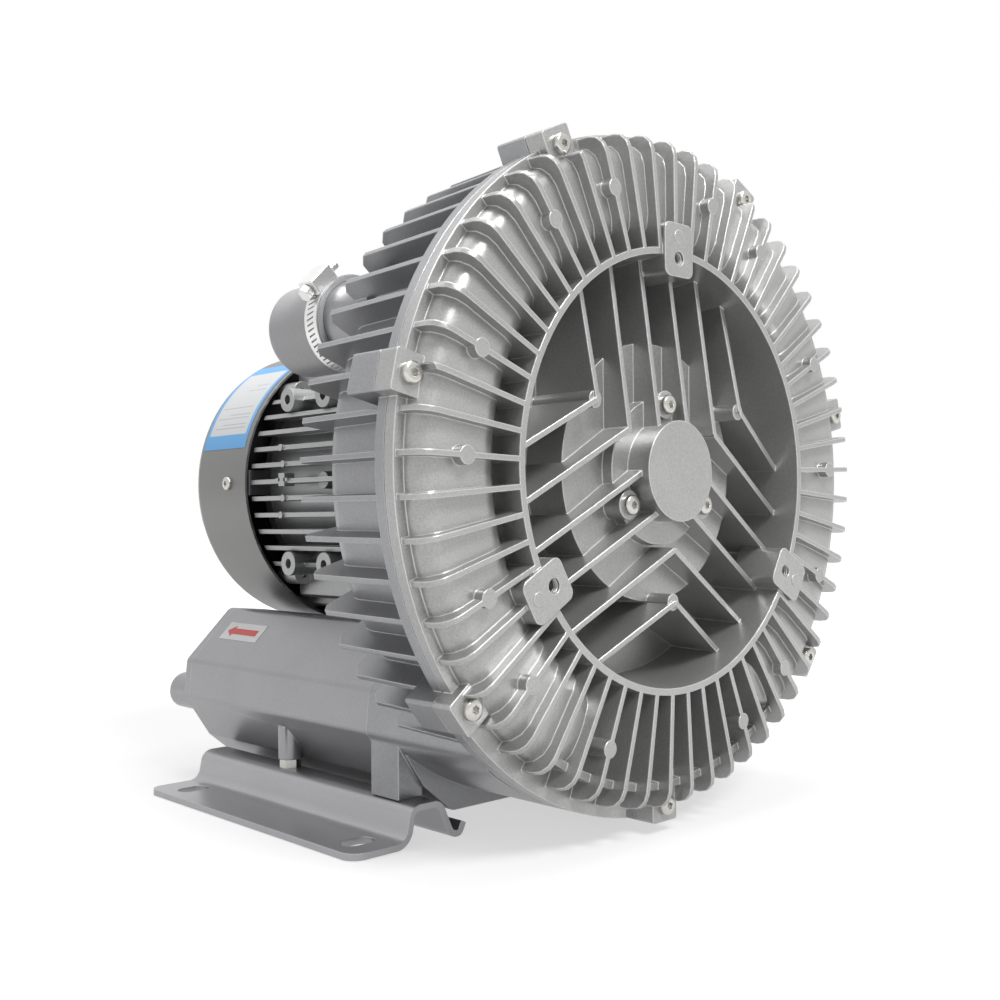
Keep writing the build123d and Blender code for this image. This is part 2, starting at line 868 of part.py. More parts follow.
# Stepped shaft with the keyway and the thread for the end screw
shaft_front = bearing_seat_depth + running_gap
rear_journal_end = rear_bearing_depth + bearing_width + spring_thickness
shaft_end = rear_journal_end + fan_seat_length
with BuildPart() as shaft:
    with BuildSketch(radial(0)):
        with BuildLine():
            Polyline(
                (0, shaft_front),
                (shaft_radius, shaft_front),
                (shaft_radius, vane_rear),
                (shaft_shoulder_radius, vane_rear),
                (shaft_shoulder_radius, rear_bearing_depth),
                (shaft_radius, rear_bearing_depth),
                (shaft_radius, rear_journal_end),
                (fan_seat_radius, rear_journal_end),
                (fan_seat_radius, shaft_end),
                (0, shaft_end),
                close=True,
            )
        make_face()
    revolve(axis=MOTOR_AXIS)
    with BuildSketch(facing(key_front)):
        with Locations((0, shaft_radius)):
            Rectangle(key_width, key_height)
    extrude(amount=-key_length, mode=Mode.SUBTRACT)
    with Locations(facing(shaft_front)):
        Hole(end_screw_radius + seat_gap, end_screw_length)
save(shaft.part, "shaft")

# Washer and screw on the front end of the shaft, inside the hollow cap
washer_front = bearing_seat_depth - end_washer_thickness
save(ring(end_screw_radius + gap, end_washer_radius, washer_front, bearing_seat_depth), "shaft_end_washer")

end_screw = hex_screw(end_screw_radius, end_screw_length, 2 * end_screw_radius - 1, end_screw_radius + 1)
with BuildPart() as shaft_end_screw:
    with Locations(facing(washer_front)):
        add(end_screw)
save(shaft_end_screw.part, "shaft_end_screw")

# Sealed bearings: the shields are part of each outer ring
for name, start in (("front", bearing_seat_depth), ("rear", rear_bearing_depth)):
    end = start + bearing_width
    with BuildPart() as outer_ring:
        with BuildSketch(radial(0)):
            with BuildLine():
                Polyline(
                    (bearing_inner_ring + running_gap, start + bearing_shield),
                    (bearing_outer_ring, start),
                    (bearing_radius, start),
                    (bearing_radius, end),
                    (bearing_outer_ring, end),
                    (bearing_inner_ring + running_gap, end - bearing_shield),
                    (bearing_inner_ring + running_gap, end - 2 * bearing_shield),
                    (bearing_outer_ring, end - 2 * bearing_shield),
                    (bearing_outer_ring, start + 2 * bearing_shield),
                    (bearing_inner_ring + running_gap, start + 2 * bearing_shield),
                    close=True,
                )
            make_face()
        revolve(axis=MOTOR_AXIS)
    save(outer_ring.part, name + "_bearing_outer_ring")
    save(ring(shaft_radius + seat_gap, bearing_inner_ring, start, end), name + "_bearing_inner_ring")

save(ring(shaft_shoulder_radius + gap, seal_radius, seal_seat_depth, seal_rear), "shaft_seal")
spring_start = rear_bearing_depth + bearing_width
save(ring(bearing_outer_ring, bearing_radius, spring_start, rear_journal_end), "wave_spring")

# Motor frame with its front flange, four groups of fins and the terminal box pad
frame_outer_radius = frame_bore_radius + frame_wall
fin_start = motor_seat_depth + motor_flange_thickness + frame_fin_setback
fin_length = frame_rear - fin_start
tie_boss_start = frame_rear - tie_boss_length
box_front = motor_seat_depth + box_setback
box_middle = box_front + box_length / 2
box_pad_width = box_width - 2 * box_pad_margin
box_pad_length = box_length - 2 * box_pad_margin
side_boss_places = [(d, h) for d in (side_boss_front, side_boss_rear) for h in (-side_boss_height, side_boss_height)]
with BuildPart() as motor_frame:
    with BuildSketch(facing(fin_start)):
        with GridLocations(0, frame_fin_pitch, 1, frame_fin_count):
            Rectangle(2 * frame_fin_radius, frame_fin_thickness)
        with GridLocations(frame_fin_pitch, 0, frame_fin_count, 1):
            Rectangle(frame_fin_thickness, 2 * frame_fin_radius)
        Circle(frame_fin_radius, mode=Mode.INTERSECT)
        Circle(frame_bore_radius + 1, mode=Mode.SUBTRACT)
    extrude(amount=-fin_length)
    # Room for the terminal box, and the pad that carries it
    with BuildSketch(upright(0, box_middle, axis_height + frame_bore_radius)):
        Rectangle(box_width + 2 * running_gap, box_length + 2 * running_gap)
    extrude(amount=frame_fin_radius, mode=Mode.SUBTRACT)
    with BuildSketch(upright(0, box_middle, axis_height + frame_bore_radius - box_pad_margin)):
        Rectangle(box_pad_width, box_pad_length)
    extrude(amount=box_bottom - frame_bore_radius + box_pad_margin)
    # Bosses of the tie bolts
    with BuildSketch(behind(frame_rear)):
        with Locations(*[polar(tie_boss_circle, a) for a in tie_angles]):
            Circle(tie_boss_radius)
        with Locations(*[polar((tie_boss_circle + frame_bore_radius) / 2, a) for a in tie_angles]):
            Circle(tie_boss_radius)
    extrude(amount=-tie_boss_length)
    # Bosses on both sides, to which feet can be screwed
    for side in (-1, 1):
        with BuildSketch(sideways(side, side_boss_face)):
            with Locations(*side_boss_places):
                Circle(side_boss_radius)
            with Locations((side_boss_front, 0)):
                Circle(middle_boss_radius)
        extrude(amount=frame_bore_radius / 2 - side_boss_face)
    # Tube, front flange and the spigot that centres it in the housing
    with BuildSketch(facing(motor_seat_depth)):
        Circle(frame_outer_radius)
    extrude(amount=-frame_length)
    with BuildSketch(facing(motor_seat_depth)):
        Circle(motor_flange_radius)
    extrude(amount=-motor_flange_thickness)
    with BuildSketch(facing(motor_seat_depth)):
        Circle(seat_inner_radius - seat_gap)
    extrude(amount=motor_spigot_height)
    with BuildSketch(facing(motor_seat_depth - motor_spigot_height)):
        Circle(frame_bore_radius)
    extrude(amount=-(frame_length + motor_spigot_height), mode=Mode.SUBTRACT)
    with Locations(behind(frame_rear)):
        with Locations(*[polar(tie_boss_circle, a) for a in tie_angles]):
            Hole(bolt_radius + seat_gap, tie_boss_length)
    with Locations(behind(motor_seat_depth + motor_flange_thickness)):
        with PolarLocations(flange_bolt_circle, 4, start_angle=45):
            Hole(flange_bolt_radius + gap, motor_flange_thickness)
    for side in (-1, 1):
        with Locations(sideways(side, side_boss_face)):
            with Locations(*side_boss_places):
                Hole(side_boss_bore, side_boss_bore_depth)
save(motor_frame.part, "motor_frame")

# Bolts of the motor's flange
flange_bolt = hex_screw(
    flange_bolt_radius,
    motor_flange_thickness + flange_bolt_length - 2,
    2 * flange_bolt_radius - 1,
    flange_bolt_radius + 1,
)
with BuildPart() as motor_flange_bolts:
    with Locations(behind(motor_seat_depth + motor_flange_thickness)):
        with PolarLocations(flange_bolt_circle, 4, start_angle=45):
            add(flange_bolt)
save(motor_flange_bolts.part, "motor_flange_bolts")

# Stator with its windings, and the rotor with its end rings
rotor_radius = stator_bore_radius - air_gap
save(ring(stator_bore_radius, frame_bore_radius - seat_gap, core_depth, core_rear), "stator_core")
save(ring(shaft_shoulder_radius + seat_gap, rotor_radius, core_depth, core_rear), "rotor_core")
winding_inner = stator_bore_radius + wall
with BuildPart() as stator_windings:
    add(ring(winding_inner, winding_inner + winding_width, core_depth - winding_length, core_depth))
    add(ring(winding_inner, winding_inner + winding_width, core_rear, core_rear + winding_length))
save(stator_windings.part, "stator_windings")
end_ring_outer = rotor_radius - running_gap
end_ring_inner = end_ring_outer - end_ring_width
with BuildPart() as rotor_end_rings:
    add(ring(end_ring_inner, end_ring_outer, core_depth - end_ring_length, core_depth))
    add(ring(end_ring_inner, end_ring_outer, core_rear, core_rear + end_ring_length))
save(rotor_end_rings.part, "rotor_end_rings")

# Rear end shield with the rear bearing seat, tie bolt ears and cowl lugs
shield_boss_radius = bearing_radius + shield_boss_wall
cowl_lug_top = sqrt((cowl_radius - cowl_wall - gap) ** 2 - (cowl_lug_width / 2) ** 2)
with BuildPart() as rear_end_shield:
    with BuildSketch(behind(frame_rear)):
        Circle(frame_outer_radius)
        with Locations(*[polar(tie_boss_circle, a) for a in tie_angles]):
            Circle(tie_boss_radius)
        with Locations(*[polar(frame_outer_radius, a) for a in tie_angles]):
            Circle(tie_boss_radius)
    extrude(amount=shield_thickness)
    with BuildSketch(*[radial(a) for a in (0, 90, 180, 270)]):
        with BuildLine():
            Polyline(
                (frame_bore_radius, frame_rear),
                (cowl_lug_top, frame_rear),
                (cowl_lug_top, frame_rear + cowl_lug_length),
                (cowl_lug_top - cowl_lug_height, frame_rear + cowl_lug_length),
                (cowl_lug_top - cowl_lug_height, shield_rear),
                (frame_bore_radius, shield_rear),
                close=True,
            )
        make_face()
    extrude(amount=cowl_lug_width / 2, both=True)
    # Register that centres the shield in the frame, and the bearing boss
    with BuildSketch(behind(frame_rear)):
        Circle(frame_bore_radius - seat_gap)
        Circle(frame_bore_radius - frame_wall, mode=Mode.SUBTRACT)
        Circle(shield_boss_radius)
    extrude(amount=-shield_spigot)
    with BuildSketch(behind(shield_rear)):
        Circle(shield_boss_radius)
    extrude(amount=rear_journal_end + wall - shield_rear)
    with BuildSketch(behind(rear_journal_end)):
        Circle(bearing_radius + seat_gap)
    extrude(amount=-(rear_journal_end - frame_rear + shield_spigot), mode=Mode.SUBTRACT)
    with Locations(behind(rear_journal_end + wall)):
        Hole(shaft_shoulder_radius + 2)
    with Locations(behind(shield_rear)):
        with Locations(*[polar(tie_boss_circle, a) for a in tie_angles]):
            Hole(bolt_radius + gap, shield_thickness)
    for angle in (0, 90, 180, 270):
        with Locations(outward(angle, cowl_lug_top, cowl_screw_depth)):
            Hole(cowl_screw_radius + seat_gap, cowl_lug_height)
save(rear_end_shield.part, "rear_end_shield")

# Tie bolts that hold the end shield on the frame
tie_bolt = hex_screw(bolt_radius, tie_bolt_length, bolt_head_radius, bolt_head_height)
with BuildPart() as motor_tie_bolts:
    with Locations(behind(shield_rear)):
        with Locations(*[polar(tie_boss_circle, a) for a in tie_angles]):
            add(tie_bolt)
save(motor_tie_bolts.part, "motor_tie_bolts")

# Cooling fan with straight blades, and the ring that clamps its hub
fan_front = rear_journal_end + wall + running_gap
fan_disc_depth = fan_front + fan_disc_setback
fan_blade_depth = fan_disc_depth + fan_disc_thickness
blade_inner_radius = fan_hub_radius + fan_clamp_thickness + 2
with BuildPart() as cooling_fan:
    with BuildSketch(behind(fan_front)):
        Circle(fan_hub_radius)
    extrude(amount=shaft_end - fan_front)
    with BuildSketch(behind(fan_disc_depth)):
        Circle(fan_radius)
    extrude(amount=fan_disc_thickness)
    with BuildSketch(*[radial(360 / fan_blade_count * k) for k in range(fan_blade_count)]):
        with BuildLine():
            Polyline(
                (blade_inner_radius, fan_blade_depth - 1),
                (fan_radius, fan_blade_depth - 1),
                (fan_radius, fan_blade_depth + fan_blade_length - 4),
                (fan_radius - 8, fan_blade_depth + fan_blade_length),
                (blade_inner_radius + 4, fan_blade_depth + fan_blade_length),
                (blade_inner_radius, fan_blade_depth + fan_blade_length - 8),
                close=True,
            )
        make_face()
    extrude(amount=fan_blade_thickness / 2, both=True)
    with BuildSketch(behind(fan_front)):
        Circle(fan_seat_radius + seat_gap)
    extrude(amount=shaft_end - fan_front, mode=Mode.SUBTRACT)
save(cooling_fan.part, "cooling_fan")
clamp_ring_radius = fan_hub_radius + seat_gap
clamp_ring_end = shaft_end - 1
save(
    ring(
        clamp_ring_radius,
        clamp_ring_radius + fan_clamp_thickness,
        clamp_ring_end - fan_clamp_width,
        clamp_ring_end,
    ),
    "fan_clamp",
)

# Fan cowl with a slotted rear and four radial screws
with BuildPart() as fan_cowl:
    with BuildSketch(radial(0)):
        with BuildLine():
            corner = (cowl_radius - cowl_corner, cowl_rear - cowl_corner)
            Polyline(
                (0, cowl_rear - cowl_wall),
                *reversed(bend(corner, cowl_corner - cowl_wall, 0, 90)),
                (cowl_radius - cowl_wall, cowl_front),
                (cowl_radius, cowl_front),
                *bend(corner, cowl_corner, 0, 90),
                (0, cowl_rear),
                close=True,
            )
        make_face()
    revolve(axis=MOTOR_AXIS)
    with BuildSketch(behind(cowl_rear)):
        with PolarLocations(cowl_slot_inner + cowl_slot_length / 2, cowl_slot_count):
            Rectangle(cowl_slot_length, cowl_slot_width)
    extrude(amount=-cowl_wall, mode=Mode.SUBTRACT)
    for angle in (0, 90, 180, 270):
        with Locations(outward(angle, cowl_radius, cowl_screw_depth)):
            Hole(cowl_screw_radius + gap, 2 * cowl_wall)
save(fan_cowl.part, "fan_cowl")

cowl_screw = socket_screw(cowl_screw_radius, cowl_lug_height, 2 * cowl_screw_radius, cowl_screw_radius)
with BuildPart() as cowl_screws:
    for angle in (0, 90, 180, 270):
        with Locations(outward(angle, cowl_radius, cowl_screw_depth)):
            add(cowl_screw)
save(cowl_screws.part, "cowl_screws")

# Silencers under the motor: body, foam lining and end plate with the threaded port
foam_front = silencer_start + silencer_wall + gap
end_face = silencer_rear + silencer_end_thickness
pad_foot = rail_height + foot_nut_height
for name, side in (("left", 1), ("right", -1)):
    port = (-side * port_x, port_z)
    port_from_behind = (side * port_x, port_z)
    screw_places = [(side * x, z) for x, z in plate_screw_places]
    screws_from_behind = [(-x, z) for x, z in screw_places]
    outline = silencer_section(side, 0)
    outline_from_behind = silencer_section(-side, 0)
    hollow = silencer_section(side, silencer_wall)
    foam_outside = silencer_section(side, silencer_wall + gap)
    foam_inside = silencer_section(side, silencer_wall + foam_thickness)
    with BuildPart() as silencer_body:
        with BuildSketch(facing(silencer_start)):
            add(outline)
        extrude(amount=-silencer_length)
        # Pad for the rear foot bolt, over the nut on the rail
        with BuildSketch(upright(-side * pad_x, rear_pad_depth, pad_foot)):
            Circle(rear_pad_radius)
        extrude(amount=rear_pad_height)
        # Hollow, with bosses for the end plate's screws left standing in its corners
        with BuildSketch(facing(silencer_start + silencer_wall)):
            add(hollow)
            with Locations(*screw_places):
                Circle(plate_screw_boss_radius, mode=Mode.SUBTRACT)
        extrude(amount=silencer_wall - silencer_length, mode=Mode.SUBTRACT)
        with Locations(behind(silencer_rear)):
            with Locations(*screws_from_behind):
                Hole(plate_screw_radius + seat_gap, plate_screw_length)
        with Locations(facing(silencer_start)):
            with Locations(port):
                Hole(port_radius, silencer_wall)
        with Locations(upright(-side * pad_x, rear_pad_depth, pad_foot, (0, 0, -1))):
            Hole(foot_bolt_radius + seat_gap, foot_bolt_length - foot_nut_height - rail_sheet + 1)
    save(silencer_body.part, "silencer_body_" + name)
    with BuildPart() as silencer_foam:
        with BuildSketch(facing(foam_front)):
            add(foam_outside)
            add(foam_inside, mode=Mode.SUBTRACT)
            with Locations(*screw_places):
                Circle(plate_screw_boss_radius + gap, mode=Mode.SUBTRACT)
        extrude(amount=foam_front + gap - silencer_rear)
    save(silencer_foam.part, "silencer_foam_" + name)
    with BuildPart() as silencer_end:
        with BuildSketch(behind(silencer_rear)):
            add(outline_from_behind)
        extrude(amount=silencer_end_thickness)
        with BuildSketch(behind(end_face)):
            with Locations(port_from_behind):
                Circle(port_boss_radius)
        extrude(amount=port_boss_length)
        with BuildSketch(behind(end_face)):
            with Locations((side * ear_x, ear_z)):
                Circle(ear_radius)
        extrude(amount=ear_length)
        with Locations(behind(end_face + port_boss_length)):
            with Locations(port_from_behind):
                Hole(port_radius, silencer_end_thickness + port_boss_length)
        with Locations(behind(end_face)):
            with Locations(*screws_from_behind):
                Hole(plate_screw_radius + gap, silencer_end_thickness)
    save(silencer_end.part, "silencer_end_" + name)

plate_screw = socket_screw(
    plate_screw_radius, plate_screw_length, 2 * plate_screw_radius, plate_screw_radius
)
with BuildPart() as silencer_end_screws:
    with Locations(behind(end_face)):
        with Locations(*[(side * x, z) for x, z in plate_screw_places for side in (-1, 1)]):
            add(plate_screw)
save(silencer_end_screws.part, "silencer_end_screws")

# Foot rails: pressed sheet with a hump, two slots each and rounded corners
half_sheet = rail_sheet / 2
crest = rail_height - half_sheet
for name, side in (("left", -1), ("right", 1)):
    with BuildPart() as foot_rail:
        with BuildSketch(Plane(origin=(0, front_y + rail_setback, 0), x_dir=(1, 0, 0), z_dir=(0, -1, 0))):
            with BuildLine():
                path = FilletPolyline(
                    (side * rail_edge_x, half_sheet),
                    (side * rail_web_x, half_sheet),
                    (side * rail_crest_x, crest),
                    (side * rail_inner_crest_x, crest),
                    (side * rail_inner_foot_x, half_sheet),
                    (side * (rail_lip_x + rail_lip_width), half_sheet),
                    (side * rail_lip_x, rail_lip_height),
                    radius=[rail_foot_bend, rail_crest_bend, rail_crest_bend, rail_inner_bend, rail_lip_bend],
                )
            trace(path, line_width=rail_sheet)
        extrude(amount=-rail_length)
        corner_edges = foot_rail.edges().filter_by(Axis.Z).group_by(Axis.X)
        fillet(corner_edges[0 if side < 0 else -1], rail_corner)
        for y in (-foot_span_y / 2, foot_span_y / 2):
            with BuildSketch(Plane.XY):
                with Locations((side * foot_span_x / 2, y)):
                    SlotOverall(slot_length, slot_width)
            extrude(amount=rail_height, mode=Mode.SUBTRACT)
        for depth in (front_pad_depth, rear_pad_depth):
            with Locations(upright(side * pad_x, depth, rail_height)):
                Hole(foot_bolt_radius + gap, rail_sheet)
    save(foot_rail.part, "foot_rail_" + name)

# Foot bolts from below the humps, and the nuts over the rear ones
foot_bolt = hex_screw(foot_bolt_radius, foot_bolt_length, foot_bolt_head_radius, foot_bolt_head_height)
with BuildPart() as foot_bolts:
    for x in (-pad_x, pad_x):
        for depth in (front_pad_depth, rear_pad_depth):
            with Locations(upright(x, depth, rail_height - rail_sheet - gap, (0, 0, -1)).rotated((0, 0, 30))):
                add(foot_bolt)
save(foot_bolts.part, "foot_bolts")
with BuildPart() as foot_nuts:
    for x in (-pad_x, pad_x):
        with BuildSketch(upright(x, rear_pad_depth, rail_height)):
            RegularPolygon(radius=foot_bolt_head_radius, side_count=6, rotation=30)
            Circle(foot_bolt_radius + seat_gap, mode=Mode.SUBTRACT)
        extrude(amount=foot_nut_height)
save(foot_nuts.part, "foot_nuts")

# Rubber cap on the spare port
cap_inner_radius = spigot_radius + seat_gap
cap_outer_radius = cap_inner_radius + rubber_wall
with BuildPart() as rubber_cap:
    with BuildSketch(facing(rubber_start_depth)):
        with Locations((spigot_x, spigot_z)):
            Circle(cap_outer_radius)
    extrude(amount=-rubber_length)
    with BuildSketch(facing(rubber_start_depth)):
        with Locations((spigot_x, spigot_z)):
            Circle(cap_inner_radius)
    extrude(amount=rubber_wall - rubber_length, mode=Mode.SUBTRACT)
    fillet(rubber_cap.edges().filter_by(GeomType.CIRCLE).sort_by(Axis.Y)[-2], rubber_corner - rubber_wall)
    fillet(rubber_cap.edges().filter_by(GeomType.CIRCLE).sort_by(Axis.Y)[-1], rubber_corner)
save(rubber_cap.part, "rubber_cap")

# Hose clamp: band, screw housing and worm screw
band_start = rubber_start_depth + band_setback
band_radius = cap_outer_radius + seat_gap + band_thickness
with BuildPart() as clamp_band:
    with BuildSketch(facing(band_start)):
        with Locations((spigot_x, spigot_z)):
            Circle(band_radius)
            Circle(band_radius - band_thickness, mode=Mode.SUBTRACT)
    extrude(amount=-band_width)
save(clamp_band.part, "clamp_band")

clamp_turn = radians(clamp_angle)
clamp_out = Vector(cos(clamp_turn), 0, sin(clamp_turn))
clamp_along = Vector(-sin(clamp_turn), 0, cos(clamp_turn))
band_centre = Vector(spigot_x, front_y + band_start + band_width / 2, axis_height + spigot_z)
worm_height = band_radius + running_gap + clamp_screw_radius


def clamp_plane(height, along):
    """Plane across the worm screw, at a height over the spare port's axis."""
    place = band_centre + clamp_out * height + clamp_along * along
    return Plane(origin=place, x_dir=clamp_out, z_dir=clamp_along)


with BuildPart() as clamp_housing:
    with BuildSketch(clamp_plane(worm_height, -clamp_housing_length / 2)):
        Rectangle(clamp_housing_height + 2, band_width + 2)
        Circle(clamp_screw_radius + gap, mode=Mode.SUBTRACT)
    extrude(amount=clamp_housing_length)
    with BuildSketch(facing(band_start - 2)):
        with Locations((spigot_x, spigot_z)):
            Circle(band_radius + seat_gap)
    extrude(amount=-(band_width + 4), mode=Mode.SUBTRACT)
save(clamp_housing.part, "clamp_housing")

worm = hex_screw(clamp_screw_radius, clamp_screw_length, clamp_head_radius, clamp_head_height)
with BuildPart() as clamp_screw:
    with Locations(clamp_plane(worm_height, clamp_housing_length / 2 + gap)):
        add(worm)
save(clamp_screw.part, "clamp_screw")

# Terminal box on the motor: box, gasket, lid and screws
box_floor = axis_height + box_bottom
box_top = box_floor + box_height
lid_seat = box_top + box_gasket_thickness
lid_top = lid_seat + lid_thickness
inner_corner = box_corner - box_wall
inner_width = box_width - 2 * box_wall
inner_length = box_length - 2 * box_wall
lid_grid = (box_width - 2 * lid_screw_inset, box_length - 2 * lid_screw_inset, 2, 2)
entry_places = ((-gland_pitch / 2, 0), (gland_pitch / 2, 0))
entry_origin = (box_width / 2, front_y + box_middle, box_floor + box_height / 2)
entry_side = Plane(origin=entry_origin, x_dir=(0, 1, 0), z_dir=(1, 0, 0))
with BuildPart() as terminal_box:
    with BuildSketch(upright(0, box_middle, box_floor)):
        RectangleRounded(box_width, box_length, box_corner)
    extrude(amount=box_height)
    with BuildSketch(upright(0, box_middle, box_floor + box_wall)):
        RectangleRounded(inner_width, inner_length, inner_corner)
    extrude(amount=box_height, mode=Mode.SUBTRACT)
    with BuildSketch(upright(0, box_middle, box_floor + 1)):
        with GridLocations(*lid_grid):
            Rectangle(lid_screw_inset, lid_screw_inset)
    extrude(amount=box_height - 1)
    with Locations(upright(0, box_middle, box_top)):
        with GridLocations(*lid_grid):
            Hole(lid_screw_radius + seat_gap, lid_screw_length)
    with Locations(entry_side):
        with Locations(*entry_places):
            Hole(gland_thread_radius + seat_gap, box_wall)
save(terminal_box.part, "terminal_box")

with BuildPart() as terminal_box_gasket:
    with BuildSketch(upright(0, box_middle, box_top)):
        RectangleRounded(box_width, box_length, box_corner)
        RectangleRounded(inner_width, inner_length, inner_corner, mode=Mode.SUBTRACT)
    extrude(amount=box_gasket_thickness)
save(terminal_box_gasket.part, "terminal_box_gasket")

with BuildPart() as terminal_box_lid:
    with BuildSketch(upright(0, box_middle, lid_seat)):
        RectangleRounded(box_width, box_length, box_corner)
    extrude(amount=lid_thickness)
    chamfer(terminal_box_lid.faces().sort_by(Axis.Z)[-1].edges(), box_wall / 2)
    with BuildSketch(upright(0, box_middle, lid_seat)):
        Rectangle(box_width - 4 * lid_screw_inset, box_length - 4 * lid_screw_inset)
    extrude(amount=lid_thickness - box_wall, mode=Mode.SUBTRACT)
    with Locations(upright(0, box_middle, lid_top)):
        with GridLocations(*lid_grid):
            CounterBoreHole(lid_screw_radius + gap, 2 * lid_screw_radius + gap, lid_screw_radius, lid_thickness)
save(terminal_box_lid.part, "terminal_box_lid")

lid_screw = socket_screw(lid_screw_radius, lid_screw_length, 2 * lid_screw_radius, lid_screw_radius)
with BuildPart() as terminal_lid_screws:
    with Locations(upright(0, box_middle, lid_top - lid_screw_radius)):
        with GridLocations(*lid_grid):
            add(lid_screw)
save(terminal_lid_screws.part, "terminal_lid_screws")

# Terminal block with its six studs
block_floor = box_floor + box_wall
with BuildPart() as terminal_block:
    with BuildSketch(upright(0, box_middle, block_floor)):
        Rectangle(block_width, block_depth)
    extrude(amount=block_height)
    with BuildSketch(upright(0, box_middle, block_floor + block_height)):
        Rectangle(block_width, fin_thickness)
        with GridLocations(stud_pitch, 0, 2, 1):
            Rectangle(fin_thickness, block_depth)
    extrude(amount=stud_length / 2)
save(terminal_block.part, "terminal_block")
with BuildPart() as terminal_studs:
    with BuildSketch(upright(0, box_middle, block_floor + block_height)):
        with GridLocations(stud_pitch, stud_pitch, 3, 2):
            Circle(stud_radius)
    extrude(amount=stud_length)
save(terminal_studs.part, "terminal_studs")

# Cable gland with its rubber seal, and the plug in the other entry
with BuildPart() as cable_gland:
    with Locations(entry_side):
        with Locations(entry_places[0]):
            add(hex_screw(gland_thread_radius, 2 * box_wall, gland_radius, gland_length / 2))
    with BuildSketch(entry_side.offset(gland_length / 2)):
        with Locations(entry_places[0]):
            Circle(gland_radius * cos(radians(30)))
    extrude(amount=gland_length / 2)
    with Locations(entry_side.offset(gland_length)):
        with Locations(entry_places[0]):
            CounterBoreHole(gland_bore_radius, seal_ring_radius + seat_gap, seal_ring_length)
save(cable_gland.part, "cable_gland")
with BuildPart() as gland_seal:
    with BuildSketch(entry_side.offset(gland_length)):
        with Locations(entry_places[0]):
            Circle(seal_ring_radius)
            Circle(gland_bore_radius, mode=Mode.SUBTRACT)
    extrude(amount=-seal_ring_length)
save(gland_seal.part, "gland_seal")
plug = hex_screw(gland_thread_radius, 2 * box_wall, gland_radius, foot_bolt_head_height)
with BuildPart() as blanking_plug:
    with Locations(entry_side):
        with Locations(entry_places[1]):
            add(plug)
save(blanking_plug.part, "blanking_plug")
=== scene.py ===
import json
import math

import bmesh
import bpy
from mathutils import Matrix, Quaternion, Vector

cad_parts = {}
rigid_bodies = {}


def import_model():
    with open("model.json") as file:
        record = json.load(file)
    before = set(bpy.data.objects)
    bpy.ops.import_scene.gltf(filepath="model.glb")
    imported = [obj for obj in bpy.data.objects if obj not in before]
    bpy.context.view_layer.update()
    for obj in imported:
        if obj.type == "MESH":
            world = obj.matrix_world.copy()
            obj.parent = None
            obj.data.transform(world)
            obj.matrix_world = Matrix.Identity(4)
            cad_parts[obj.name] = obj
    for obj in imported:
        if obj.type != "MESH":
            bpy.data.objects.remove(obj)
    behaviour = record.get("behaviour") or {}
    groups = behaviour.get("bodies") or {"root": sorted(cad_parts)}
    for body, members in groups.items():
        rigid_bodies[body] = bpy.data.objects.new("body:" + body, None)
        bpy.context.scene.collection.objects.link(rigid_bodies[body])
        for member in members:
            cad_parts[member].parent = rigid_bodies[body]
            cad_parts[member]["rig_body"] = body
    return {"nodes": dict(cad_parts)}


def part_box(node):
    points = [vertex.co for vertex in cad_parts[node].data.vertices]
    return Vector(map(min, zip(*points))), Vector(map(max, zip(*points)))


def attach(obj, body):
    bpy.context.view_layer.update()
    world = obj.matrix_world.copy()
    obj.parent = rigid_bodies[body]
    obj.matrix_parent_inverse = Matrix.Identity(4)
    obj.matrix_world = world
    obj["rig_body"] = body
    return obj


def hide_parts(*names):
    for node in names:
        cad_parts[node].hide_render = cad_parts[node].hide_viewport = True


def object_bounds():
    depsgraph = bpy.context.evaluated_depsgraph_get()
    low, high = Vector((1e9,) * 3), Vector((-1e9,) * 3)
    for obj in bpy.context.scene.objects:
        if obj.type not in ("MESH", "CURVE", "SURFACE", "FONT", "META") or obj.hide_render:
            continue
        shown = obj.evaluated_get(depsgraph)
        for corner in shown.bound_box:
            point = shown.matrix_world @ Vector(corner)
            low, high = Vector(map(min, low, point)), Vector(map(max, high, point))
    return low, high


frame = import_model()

cad_low, cad_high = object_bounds()

# Camera
# The blower is seen from its front left, with the lens a little below the height of its shaft.
# Place and aim are metres in the blower's own frame.
scene = bpy.context.scene
camera_place = Vector((-0.5597, -0.6460, 0.1892))
camera_aim = Vector((0.0603, 0.0063, 0.2027))
camera_roll = -0.008
camera_data = bpy.data.cameras.new("camera")
camera_data.sensor_width = 36
camera_data.lens = 42.6
camera = bpy.data.objects.new("camera", camera_data)
scene.collection.objects.link(camera)
camera.location = camera_place
camera.rotation_mode = "QUATERNION"
sight = (camera_aim - camera_place).to_track_quat("-Z", "Y")
camera.rotation_quaternion = sight @ Quaternion((0, 0, 1), camera_roll)
scene.camera = camera

# Studio
# A white paper floor, a white surround and three large soft lamps.
# Floor and surround glow white where they are seen or mirrored, and the floor keeps the shadow.
def add_node(tree, kind, values=None, **settings):
    """A node with its settings, and its inputs joined to sockets or set to values."""
    made = tree.nodes.new(kind)
    for name, value in settings.items():
        setattr(made, name, value)
    for name, value in (values or {}).items():
        if isinstance(value, bpy.types.NodeSocket):
            tree.links.new(value, made.inputs[name])
        else:
            made.inputs[name].default_value = value
    return made


def fit_range(tree, value, low, high, to_low, to_high):
    """A value carried from one range into another."""
    ranges = {"From Min": low, "From Max": high, "To Min": to_low, "To Max": to_high}
    return add_node(tree, "ShaderNodeMapRange", {"Value": value, **ranges}).outputs["Result"]


scene.view_settings.view_transform = "Standard"
pure_white = (1, 1, 1, 1)
paper_white = (0.42, 0.42, 0.42, 1)
near_glow = 0.58
far_glow = 0.9
near_radius = 0.45
far_radius = 1.2
surround_level = 0.6
room_level = 0.12
overhead_height = 0.45
floor_size = 30
floor_drop = 0.0004

